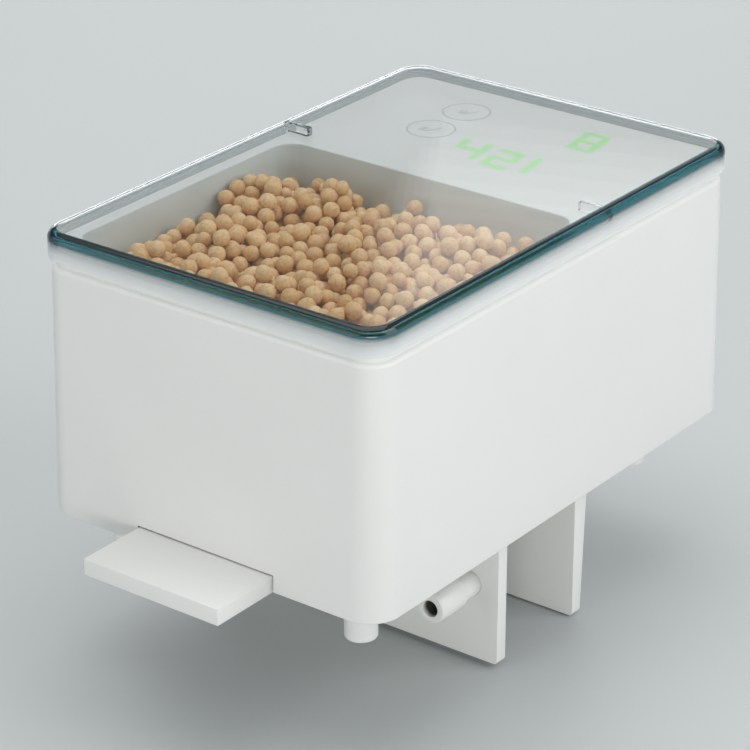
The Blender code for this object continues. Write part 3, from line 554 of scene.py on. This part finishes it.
def touch_key(word, centre_y, strokes, dots, mats):
    """Ring and pictogram of a touch key, inlaid in the deck and flush with it."""
    top = span("deck")[1].z
    low, high = top - KEY_DEPTH, top + KEY_RISE
    bm = bmesh.new()
    for x, y, radius in ((0.0, 0.0, KEY_RING), *dots):
        ring = [(radius - KEY_LINE, low), (radius, low), (radius, high), (radius - KEY_LINE, high)]
        turned(bm, ring, 96, "Z", (KEY_X + x, centre_y + y, 0.0))
    for x0, y0, x1, y1 in strokes:
        flat_stroke(bm, (KEY_X + x0, centre_y + y0), (KEY_X + x1, centre_y + y1), KEY_LINE / 2, low, high)
    obj = to_object("touch_key_" + word, bm, mats["key_line"])
    return place(obj, "body", "led_face")


def stroke_ends(digit, cx, cy, width, height):
    """End points of the lit strokes of a leaning numeral."""
    w, h = width / 2, height / 2
    ends = {
        "a": (-w, h, w, h), "b": (w, h, w, 0.0), "c": (w, 0.0, w, -h), "d": (-w, -h, w, -h),
        "e": (-w, 0.0, -w, -h), "f": (-w, h, -w, 0.0), "g": (-w, 0.0, w, 0.0),
    }
    lit = []
    for x0, y0, x1, y1 in (ends[name] for name in STROKES_OF[digit]):
        lit.append((cx + x0 - DIGIT_LEAN * y0, cy + y0, cx + x1 - DIGIT_LEAN * y1, cy + y1))
    return lit


def glow_at(x, y, strokes):
    """Light of the nearest stroke at a point: 1 on the stroke, fading to 0 across its soft edge."""
    nearest = 100.0
    for x0, y0, x1, y1 in strokes:
        along = ((x - x0) * (x1 - x0) + (y - y0) * (y1 - y0)) / ((x1 - x0) ** 2 + (y1 - y0) ** 2)
        along = min(0.93, max(0.07, along))
        nearest = min(nearest, math.hypot(x - x0 - along * (x1 - x0), y - y0 - along * (y1 - y0)))
    fade = min(1.0, max(0.0, (nearest - STROKE_CORE) / (STROKE_REACH - STROKE_CORE)))
    return 1.0 - fade * fade * (3.0 - 2.0 * fade)


def display_window(word, digits, mats):
    """Thin window over some numerals, flush with the deck and as white, with a fine grid for the glow."""
    top = span("deck")[1].z
    strokes = [stroke for digit in digits for stroke in stroke_ends(*digit)]
    xs = [x for stroke in strokes for x in stroke[::2]]
    ys = [y for stroke in strokes for y in stroke[1::2]]
    cx, cy = (min(xs) + max(xs)) / 2, (min(ys) + max(ys)) / 2
    half_x, half_y = (max(xs) - min(xs)) / 2 + STROKE_REACH, (max(ys) - min(ys)) / 2 + STROKE_REACH
    columns, lines = int(half_x * 2 / WINDOW_CELL), int(half_y * 2 / WINDOW_CELL)
    bm = bmesh.new()
    layer = bm.verts.layers.float.new("glow")
    rows = []
    for j in range(lines + 1):
        row = []
        for i in range(columns + 1):
            x, y = cx + half_x * (2 * i / columns - 1), cy + half_y * (2 * j / lines - 1)
            vert = bm.verts.new((x, y, top + WINDOW_RISE))
            vert[layer] = glow_at(x, y, strokes)
            row.append(vert)
        rows.append(row)
    for low_row, high_row in zip(rows, rows[1:]):
        for i in range(columns):
            bm.faces.new((low_row[i], low_row[i + 1], high_row[i + 1], high_row[i]))
    rim = rows[0] + [row[-1] for row in rows[1:-1]] + rows[-1][::-1] + [row[0] for row in rows[-2:0:-1]]
    base = [bm.verts.new((v.co.x, v.co.y, top - WINDOW_DEPTH)) for v in rim]
    for k, vert in enumerate(rim):
        n = (k + 1) % len(rim)
        bm.faces.new((base[k], base[n], rim[n], vert))
    bm.faces.new(list(reversed(base)))
    obj = to_object("display_window_" + word, bm, mats["display_glow"])
    return place(obj, "body", "led_face")


def hopper_walls(mats):
    """Bin below the deck, whose thin liner rises through the deck's opening to a rounded rim."""
    low, high = span("hopper_bin")
    rim = span("deck")[1].z
    hx, hy, r, wall = HOPPER_HALF_X, HOPPER_HALF_Y, HOPPER_R, BIN_WALL
    out_x, out_y = OUTLET_HALF_X, OUTLET_HALF_Y
    flange_x, flange_y, liner = high.x, (high.y - low.y) / 2, LINER - 0.02
    rings = [
        outline(out_x + wall, out_y + wall, 2.0, low.z, OUTLET_Y),
        outline(out_x + wall, out_y + wall, 2.0, OUTLET_TOP_Z - 1.0, OUTLET_Y),
        outline(hx + wall - 0.6, hy + wall - 0.6, 6.0, FUNNEL_TOP_Z - 1.0, HOPPER_Y),
        outline(hx + wall, hy + wall, 6.2, high.z - 1.4, HOPPER_Y),
        outline(flange_x, flange_y, 6.4, high.z - 1.3, HOPPER_Y),
        outline(flange_x, flange_y, 6.4, high.z, HOPPER_Y),
        outline(hx + liner, hy + liner, r + liner, high.z, HOPPER_Y),
        outline(hx + liner, hy + liner, r + liner, rim - 0.02, HOPPER_Y),
        outline(hx + 0.1, hy + 0.1, r + 0.1, rim, HOPPER_Y),
        outline(hx, hy, r, rim - 0.12, HOPPER_Y),
        outline(hx - 0.05, hy - 0.05, r, high.z - 2.0, HOPPER_Y),
        outline(hx - 0.8, hy - 0.8, r, FUNNEL_TOP_Z, HOPPER_Y),
        outline(out_x, out_y, 1.2, OUTLET_TOP_Z, OUTLET_Y),
        outline(out_x, out_y, 1.2, low.z, OUTLET_Y),
    ]
    obj = lofted("hopper_walls", rings, mats["grey_abs"], True, 28)
    return place(obj, "body", "grey_abs", "hopper_bin")


# ---------------------------------------------------------------- loose feed


def drop_pellets():
    """Centres and radii of balls dropped one by one; each rolls downhill until it rests among the others."""
    rng = np.random.default_rng(11)
    half = np.array([HOPPER_HALF_X - 0.55, HOPPER_HALF_Y - 0.55])
    centres = np.zeros((PELLET_COUNT, 3))
    radii = PELLET_R * (1.0 + PELLET_SPREAD * rng.uniform(-1.3, 0.8, PELLET_COUNT))
    turns = np.linspace(0, 2 * np.pi, 8, endpoint=False)
    ways = np.stack([np.cos(turns), np.sin(turns)], 1)
    for k in range(PELLET_COUNT):
        r = radii[k]
        room = half - r
        placed, sizes = centres[:k], radii[:k]

        def landing(spots):
            flat = placed[None, :, :2] - spots[:, None, :]
            gap = (sizes + r) ** 2 - (flat ** 2).sum(2)
            rest = np.where(gap > 0, placed[None, :, 2] + np.sqrt(np.maximum(gap, 0)), BED_FLOOR + r)
            return rest.max(1, initial=BED_FLOOR + r)

        spot = rng.uniform(-room, room)
        height = landing(spot[None])[0]
        for stride in (0.7, 0.3, 0.12, 0.05):
            for _ in range(14):
                tries = np.clip(spot + ways * stride, -room, room)
                heights = landing(tries)
                best = int(heights.argmin())
                if heights[best] >= height - 1e-4:
                    break
                spot, height = tries[best], heights[best]
        centres[k] = spot[0], spot[1], height
    centres[:, 1] += HOPPER_Y
    return centres, radii, rng


def pellet_shapes(rng, count=6):
    """A few slightly lumpy unit balls, as (points, faces)."""
    bm = bmesh.new()
    bmesh.ops.create_icosphere(bm, subdivisions=3, radius=1.0)
    points = np.array([v.co for v in bm.verts])
    faces = np.array([[v.index for v in f.verts] for f in bm.faces])
    bm.free()
    shapes = []
    for _ in range(count):
        lumps = np.ones(len(points))
        for _ in range(5):
            way = rng.normal(size=3)
            way /= np.linalg.norm(way)
            lumps += 0.018 * np.sin(3.0 * points @ way + rng.uniform(0, 6))
        squash = 1.0 + rng.uniform(-0.03, 0.03, 3)
        shapes.append(points * lumps[:, None] * squash)
    return shapes, faces


def feed_pellets(mats):
    """Top layers of the feed as loose pellets, in four pieces, over a plain core that fills the bin below."""
    centres, radii, rng = drop_pellets()
    shapes, faces = pellet_shapes(rng)
    tones = rng.beta(2.4, 2.4, len(centres))
    shown = centres[:, 2] > BED_FLOOR + BED_HIDDEN
    quarters = (centres[:, 0] > 0).astype(int) + 2 * (centres[:, 1] > HOPPER_Y)
    for quarter in range(4):
        points, loops, tone = [], [], []
        for k in np.flatnonzero(shown & (quarters == quarter)):
            shape = shapes[k % len(shapes)]
            turn = np.array(Matrix.Rotation(rng.uniform(0, 6.28), 3, Vector(rng.normal(size=3))))
            loops.append(faces + len(points) * len(shape))
            points.append(shape @ turn.T * radii[k] + centres[k])
            tone.append(np.full(len(shape), tones[k]))
        mesh = bpy.data.meshes.new("pellets_%d" % (quarter + 1))
        mesh.from_pydata((np.concatenate(points) * MM).tolist(), [], np.concatenate(loops).tolist())
        layer = mesh.attributes.new("tone", "FLOAT", "POINT").data
        layer.foreach_set("value", np.concatenate(tone).astype(np.float32))
        mesh.materials.append(mats["fish_food"])
        mesh.shade_smooth()
        obj = bpy.data.objects.new(mesh.name, mesh)
        bpy.context.scene.collection.objects.link(obj)
        place(obj, "body", "fish_food")
    low = span("food_pellets")[0]
    neck_x, neck_y = OUTLET_HALF_X - 0.4, OUTLET_HALF_Y - 0.4
    core = [
        outline(neck_x, neck_y, 1.0, low.z, OUTLET_Y),
        outline(neck_x, neck_y, 1.0, OUTLET_TOP_Z + 0.3, OUTLET_Y),
        outline(HOPPER_HALF_X - 1.2, HOPPER_HALF_Y - 1.2, 4.6, FUNNEL_TOP_Z + 0.7, HOPPER_Y),
        outline(HOPPER_HALF_X - 1.0, HOPPER_HALF_Y - 1.0, 4.6, BED_FLOOR + 1.9, HOPPER_Y),
    ]
    obj = lofted("feed_core", core, mats["fish_food"])
    place(obj, "body", "fish_food", "food_pellets")


# ---------------------------------------------------------------- lid


def lid_cover(mats):
    """Clear cover: a flat plate, a rounded edge and a skirt.

    Its rounded edges are darkened with painted shade, fully on the outside at the front and right and less so
    on the inside at the back and left, and the skirt's rim is painted frost.
    """
    low, high = span("lid")
    half_x, half_y, top = high
    under = top - LID_PLATE
    inner = [(LID_WALL + LID_INNER_EDGE + 0.15, under)]
    inner += fillet(LID_WALL + LID_INNER_EDGE, under - LID_INNER_EDGE, LID_INNER_EDGE, 90, 0, 6)
    inner += fillet(LID_WALL - 0.15, low.z + 0.15, -0.15, 0, -90, 3)
    outer = fillet(LID_RIM_R, low.z + LID_RIM_R, LID_RIM_R, -90, 0, 3)
    outer += fillet(LID_EDGE, top - LID_EDGE, LID_EDGE, 0, 90, 12)
    outer += [(LID_EDGE + 0.15, top)]
    profile = inner + outer
    bm = bmesh.new()
    edge_shade_and_recess_floor, frost = bm.verts.layers.float.new("edge_shade_and_recess_floor"), bm.verts.layers.float.new("frost")
    rows = skin(bm, rings_in(half_x, half_y, LID_R, profile))
    for number, ((inset, z), row) in enumerate(zip(profile, rows)):
        rounded = z > under - LID_INNER_EDGE - 0.01 and 0 < number < len(profile) - 1
        outside = number >= len(inner)
        for vert in row:
            near = vert.co.y < inset + LID_EDGE - half_y or vert.co.x > half_x - inset - LID_EDGE
            # Painted shade: a dark band on the outer rounded edge at the front and right, weaker on the inner
            # one at the back and left.
            vert[edge_shade_and_recess_floor] = rounded * (float(outside) if near else 0.6 * (not outside))
            vert[frost] = 0.85 * (z < low.z + LID_RIM_R + 0.01)
    obj = to_object("lid_cover", bm, mats["clear_plastic"], 28)
    place(obj, "lid", "clear_plastic", "lid")
    lid_ribs(half_x - LID_WALL - 0.02, low.z, under - 0.02, mats)


def lid_ribs(wall_x, skirt_z, under, mats):
    """L-shaped stops inside the skirt on both sides: an arm under the plate and a thin leg down the wall."""
    y0, y1 = RIB_Y - RIB_WIDTH / 2, RIB_Y + RIB_WIDTH / 2
    for side, word in ((-1, "left"), (1, "right")):
        arm, leg, foot_z = wall_x - RIB_LENGTH, wall_x - RIB_LEG, skirt_z + 0.2
        points = [(wall_x, foot_z), (wall_x, under), (arm, under)]
        points += [(arm, RIB_BOTTOM), (leg, RIB_BOTTOM), (leg, foot_z)]
        bm = bmesh.new()
        skin(bm, [[(side * x, y, z) for x, z in points] for y in (y0, y1)])
        rib = shaped(to_object("lid_rib_" + word, bm, mats["clear_plastic"]), bevel_mm=0.12, segments=2)
        place(rib, "lid", "clear_plastic")


# ---------------------------------------------------------------- feed slide, clamp, feet


def slide_body(mats):
    """Flat tongue in front, and behind it the tray with the pocket that carries a portion of feed."""
    low, high = span("feed_slide")
    bm = bmesh.new()
    add_box(bm, low.x, high.x, low.y, HOOD_BACK, low.z, HOOD_T)
    obj = to_object("slide_body", bm, mats["white_abs"])
    tray = box_tool([(low.x + 0.02, high.x - 0.02, HOOD_BACK - 3.1, high.y, TRAY_Z0, high.z)])
    pocket = box_tool([(-POCKET_HALF, POCKET_HALF, HOOD_BACK, HOOD_BACK + POCKET_LEN, 1.0, 9.0)])
    shaped(obj, cuts=[pocket], unions=[tray], bevel_mm=0.28)
    return place(obj, "feed_slide", "white_abs", "feed_slide")


def jaw(word, sign, mats):
    """Clamp plate with rounded lower corners and a flange; the front one has bores for the clamp screws."""
    low, high = span(word + "_jaw")
    face, half, corner = JAW_FACES[word], high.x, JAW_R
    points = [(-half, high.z), (half, high.z)]
    for quarter, sx in ((0, 1), (1, -1)):
        for k in range(7):
            angle = -math.pi / 2 * (quarter + k / 6)
            x = sx * (half - corner) + corner * math.cos(angle)
            points.append((x, low.z + corner + corner * math.sin(angle)))
    far = []
    for x, z in points:
        thick = JAW_TIP + (JAW_ROOT[word] - JAW_TIP) * (z - low.z) / (high.z - low.z)
        far.append((x, face + sign * thick, z))
    bm = bmesh.new()
    skin(bm, [[(x, face, z) for x, z in points], far])
    obj = to_object(word + "_jaw_plate", bm, mats["white_abs"])
    edge = low.y if sign < 0 else high.y
    flange = sorted((face + sign * (JAW_TIP - FLANGE_OVERLAP), edge))
    unions = [box_tool([(-half + 0.02, half - 0.02, *flange, high.z - FLANGE_T, high.z - 0.01)])]
    screw_x, screw_y = JAW_SCREW
    holes = [(sx * screw_x, sign * screw_y, 0.0) for sx in (-1, 1)]
    cuts = [drum_tool(holes, JAW_SCREW_HOLE, high.z - 4, high.z + 1, 32)]
    if sign < 0:
        bores = [(sx * SCREW_X, 0.0, SCREW_Z) for sx in (-1, 1)]
        cuts.append(drum_tool(bores, SCREW_R + 0.05, face - 6, face + 3, 56, "Y"))
    shaped(obj, cuts=cuts, unions=unions, bevel_mm=0.25)
    return place(obj, "body", "white_abs", word + "_jaw")


def screw_ring(centre, radius, y, steps=64):
    turns = [2 * math.pi * s / steps for s in range(steps)]
    return [(centre.x + radius * math.sin(t), y, centre.z + radius * math.cos(t)) for t in turns]


def thread_rows(centre, y0, y1, radius):
    """Rings of a shank with a right-hand thread, whose groove fades out at both ends."""
    rows = []
    count = int((y1 - y0) / THREAD_ROW)
    for k in range(count + 1):
        y = y0 + (y1 - y0) * k / count
        depth = THREAD_DEPTH * max(0.0, min(1.0, (y - y0) / 1.2, (y1 - y) / 1.2))
        row = screw_ring(centre, 1.0, y)
        for s, (x, _, z) in enumerate(row):
            phase = (y / THREAD_PITCH - s / len(row)) % 1.0
            crest = min(1.0, max(0.0, 1.6 - 5.4 * abs(phase - 0.5)))
            r = radius - depth * (1.0 - crest)
            row[s] = (centre.x + (x - centre.x) * r, y, centre.z + (z - centre.z) * r)
        rows.append(row)
    return rows


def clamp_screw(word, sign, mats):
    """Screw with a long hollow head, its bore darkened with painted shade, a threaded shank and a spigot for
    the tip pad.
    """
    low, high = span("clamp_screw_" + word)
    centre = Vector((sign * SCREW_X, 0.0, SCREW_Z))
    front, back = low.y, high.y
    neck, seat, end = back - SPIGOT_LEN, front + SCREW_HEAD_LEN, front + BORE_DEPTH
    head, bore = SCREW_HEAD_R, SCREW_BORE
    hollow = [(0.02, end), (bore - 0.1, end), (bore, end - 0.2), (bore, front + 1.4)]
    profile = hollow + [(bore, front + 0.3), (bore + 0.08, front + 0.08), (bore + 0.25, front)]
    profile += [(head - 0.5, front), (head - 0.2, front + 0.08), (head, front + 0.4)]
    profile += [(head, seat - 0.3), (head - 0.08, seat - 0.08), (head - 0.3, seat), (SCREW_R, seat)]
    tip = [(SCREW_R - 0.02, neck - 0.3), (SCREW_R - 0.3, neck), (SPIGOT_R, neck)]
    tip += [(SPIGOT_R, back - 0.2), (SPIGOT_R - 0.2, back)]
    rings = [screw_ring(centre, r, y) for r, y in profile]
    rings += thread_rows(centre, seat + THREAD_START, neck - 0.5, SCREW_R)
    rings += [screw_ring(centre, r, y) for r, y in tip]
    bm = bmesh.new()
    # The rings inside the bore are marked for painted shade, which darkens the hollow.
    painted_bore_shade = bm.verts.layers.float.new("painted_bore_shade")
    for row in skin(bm, rings)[:len(hollow)]:
        for vert in row:
            vert[painted_bore_shade] = 1.0
    obj = to_object("clamp_screw_body_" + word, bm, mats["white_abs"])
    return place(obj, "screw_" + word, "white_abs", "clamp_screw_" + word)


def clamp_pad(word, sign, mats):
    """Rubber tip that caps the screw's spigot, with shallow rings on its pressing face."""
    low, high = span("clamp_pad_" + word)
    rim, face = (high.x - low.x) / 2, high.y
    socket, floor_y = SPIGOT_R + 0.06, face - PAD_FLOOR
    profile = [(0.0, floor_y), (socket, floor_y), (socket, low.y + 0.2), (socket + 0.2, low.y)]
    profile += [(rim - 0.25, low.y), (rim - 0.05, low.y + 0.1), (rim, low.y + 0.3), (rim, face - 0.4)]
    profile += [(rim - 0.12, face - 0.12), (rim - 0.4, face)]
    for radius in PAD_RINGS:
        profile += [(radius, face), (radius - 0.12, face - 0.25)]
        profile += [(radius - 0.35, face - 0.25), (radius - 0.47, face)]
    profile.append((0.0, face))
    obj = lathe("pad_" + word + "_rubber", profile, mats["rubber"], "Y", (sign * SCREW_X, 0.0, SCREW_Z))
    return place(obj, "pad_" + word, "rubber", "clamp_pad_" + word)


def foot(node, mats):
    """Round peg with a shallow hollow in its sole and a spigot that goes up into the base."""
    low, high = span(node)
    cx, cy = (low.x + high.x) / 2, (low.y + high.y) / 2
    radius, bottom, seat, spigot = (high.x - low.x) / 2, low.z, FOOT_SEAT, FOOT_SPIGOT_R
    profile = [(0.0, bottom + 0.35), (radius - 1.3, bottom + 0.35), (radius - 1.1, bottom + 0.1)]
    profile += [(radius - 0.8, bottom), (radius - 0.55, bottom), (radius - 0.2, bottom + 0.12)]
    profile += [(radius - 0.05, bottom + 0.35), (radius, bottom + 0.7), (radius, seat - 0.15)]
    profile += [(radius - 0.15, seat), (spigot, seat)]
    profile += [(spigot, high.z - 0.2), (spigot - 0.2, high.z), (0.0, high.z)]
    obj = lathe(node + "_peg", profile, mats["white_abs"], "Z", (cx, cy, 0.0))
    return place(obj, "body", "white_abs", node)


def door_panel(mats):
    """Battery door: a flat panel with a row of finger grooves."""
    low, high = span("battery_door")
    half_x, half_y = (high.x - low.x) / 2, (high.y - low.y) / 2
    profile = [(0.25, low.z), (0.07, low.z + 0.07), (0.0, low.z + 0.25), (0.0, high.z)]
    bm = bmesh.new()
    skin(bm, rings_in(half_x, half_y, 1.2, profile, (low.y + high.y) / 2))
    obj = to_object("battery_door_panel", bm, mats["white_abs"])
    starts = [GRIP_X + GRIP_PITCH * k for k in range(GRIP_COUNT)]
    grips = [(x, x + GRIP_WIDTH, high.y - 7.0, high.y - 3.0, -1.0, 0.5) for x in starts]
    shaped(obj, cuts=[box_tool(grips)])
    return place(obj, "battery_door", "white_abs", "battery_door")


def cross_screw(node, head_r, head_h, mats):
    """Pan-head screw with a cross recess, head down."""
    low, high = span(node)
    cx, cy, r = (low.x + high.x) / 2, (low.y + high.y) / 2, (high.x - low.x) / 2
    shank = head_r * 0.38
    seat = low.z + head_h
    profile = [(0.0, low.z), (r * 0.45, low.z + 0.03), (r * 0.8, low.z + head_h * 0.22)]
    profile += [(r * 0.96, low.z + head_h * 0.55), (r, seat - 0.1), (r, seat)]
    profile += [(shank, seat), (shank, high.z - 0.6), (shank * 0.4, high.z), (0.0, high.z)]
    obj = lathe(node + "_cross_head", profile, mats["steel"], "Z", (cx, cy, 0.0), 40)
    arm, half = r * 0.55, r * 0.13
    edge_shade_and_recess_floor = low.z + head_h * 0.75
    spans = [(cx - arm, cx + arm, cy - half, cy + half, low.z - 1, edge_shade_and_recess_floor)]
    other = [(cx - half, cx + half, cy - arm, cy + arm, low.z - 1, edge_shade_and_recess_floor - 0.01)]
    shaped(obj, cuts=[box_tool(spans), box_tool(other)])
    return place(obj, "body", "steel", node)


# ---------------------------------------------------------------- scene


def dress_nodes(mats):
    """Gives each CAD node that stays its material."""
    slots = {row["node"]: row["material_slot"] for row in frame["record"]["subparts"]}
    for name, obj in frame["nodes"].items():
        obj.data.materials.clear()
        obj.data.materials.append(mats[slots[name]])


def add_camera():
    a, e = math.radians(AZIMUTH), math.radians(ELEVATION)
    back = Vector((math.sin(a) * math.cos(e), -math.cos(a) * math.cos(e), math.sin(e)))
    right = Vector((math.cos(a), math.sin(a), 0.0))
    up = back.cross(right)
    data = bpy.data.cameras.new("camera")
    data.lens = LENS
    data.sensor_width = SENSOR
    data.clip_start = 0.01
    cam = bpy.data.objects.new("camera", data)
    cam.location = back * DISTANCE + right * AIM_RIGHT + up * AIM_UP
    cam.rotation_mode = "QUATERNION"
    cam.rotation_quaternion = (-back).to_track_quat("-Z", "Y")
    bpy.context.scene.collection.objects.link(cam)
    bpy.context.scene.camera = cam


def add_light(name, place_at, size, power, colour=(1.0, 1.0, 1.0)):
    """Soft panel aimed at the origin."""
    data = bpy.data.lights.new(name, "AREA")
    data.shape = "RECTANGLE"
    data.size, data.size_y = size
    data.energy = power
    data.color = colour
    lamp = bpy.data.objects.new(name, data)
    lamp.location = place_at
    lamp.rotation_mode = "QUATERNION"
    lamp.rotation_quaternion = (-Vector(place_at)).to_track_quat("-Z", "Y")
    bpy.context.scene.collection.objects.link(lamp)


def add_floor(floor_z):
    mat, tree, shader = new_material("studio_floor")
    paint = ramp(tree, noise(tree, 3.0), (0.50, 0.525, 0.53), (0.53, 0.555, 0.56))
    tree.links.new(paint, shader.inputs["Base Color"])
    shader.inputs["Roughness"].default_value = 0.6
    bm = bmesh.new()
    bmesh.ops.create_circle(bm, cap_ends=True, segments=96, radius=FLOOR_RADIUS / MM)
    floor = to_object("studio_floor", bm, mat)
    floor.location.z = floor_z


def add_sky():
    world = bpy.data.worlds.new("studio")
    bpy.context.scene.world = world
    world.use_nodes = True
    tree = world.node_tree
    coords = tree.nodes.new("ShaderNodeTexCoord")
    parts = tree.nodes.new("ShaderNodeSeparateXYZ")
    tree.links.new(coords.outputs["Generated"], parts.inputs["Vector"])
    shades = tree.nodes.new("ShaderNodeValToRGB")
    stops = shades.color_ramp.elements
    stops[0].position, stops[1].position = SKY[0][0], SKY[-1][0]
    for height, _ in SKY[1:-1]:
        stops.new(height)
    for stop, (_, colour) in zip(stops, SKY):
        stop.color = (*colour, 1.0)
    tree.links.new(parts.outputs["Z"], shades.inputs["Fac"])
    back = tree.nodes["Background"]
    tree.links.new(shades.outputs["Color"], back.inputs["Color"])
    back.inputs["Strength"].default_value = SKY_STRENGTH


def add_lights():
    for light in LIGHTS:
        add_light(*light)
    for step in range(HAZE_COUNT):
        turn, height = math.radians(HAZE_TURN + HAZE_TURN_STEP * step), HAZE_HEIGHT + HAZE_HEIGHT_STEP * step
        spot = (-HAZE_RADIUS * math.sin(turn), HAZE_RADIUS * math.cos(turn), height)
        add_light("haze_%d" % (step + 1), spot, HAZE_SIZE, HAZE_POWER / HAZE_COUNT)


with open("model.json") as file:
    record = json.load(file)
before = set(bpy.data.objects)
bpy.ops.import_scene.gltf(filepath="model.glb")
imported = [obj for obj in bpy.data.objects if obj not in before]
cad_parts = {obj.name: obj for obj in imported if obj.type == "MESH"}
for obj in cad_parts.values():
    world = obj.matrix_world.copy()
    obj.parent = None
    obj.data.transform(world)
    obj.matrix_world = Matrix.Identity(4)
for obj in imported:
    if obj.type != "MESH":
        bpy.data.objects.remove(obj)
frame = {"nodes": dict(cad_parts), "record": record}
cad_low, cad_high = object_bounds()
materials = make_materials()
dress_nodes(materials)
housing_shell(materials)
deck_cover(materials)
for key in KEYS:
    touch_key(*key, materials)
for window_word, window_digits in DIGITS.items():
    display_window(window_word, window_digits, materials)
hopper_walls(materials)
feed_pellets(materials)
lid_cover(materials)
slide_body(materials)
jaw("front", -1, materials)
jaw("rear", 1, materials)
for side_word, side_sign in (("left", -1), ("right", 1)):
    clamp_screw(side_word, side_sign, materials)
    clamp_pad(side_word, side_sign, materials)
    for row_word in ("front", "back"):
        foot("foot_%s_%s" % (row_word, side_word), materials)
door_panel(materials)
for number in range(1, 5):
    cross_screw("base_screw_%d" % number, 2.7, 0.9, materials)
    cross_screw("jaw_screw_%d" % number, 2.8, 1.6, materials)
add_camera()
add_floor(cad_low.z - FLOOR_GAP)
add_sky()
add_lights()
bpy.context.scene.view_settings.view_transform = "Standard"
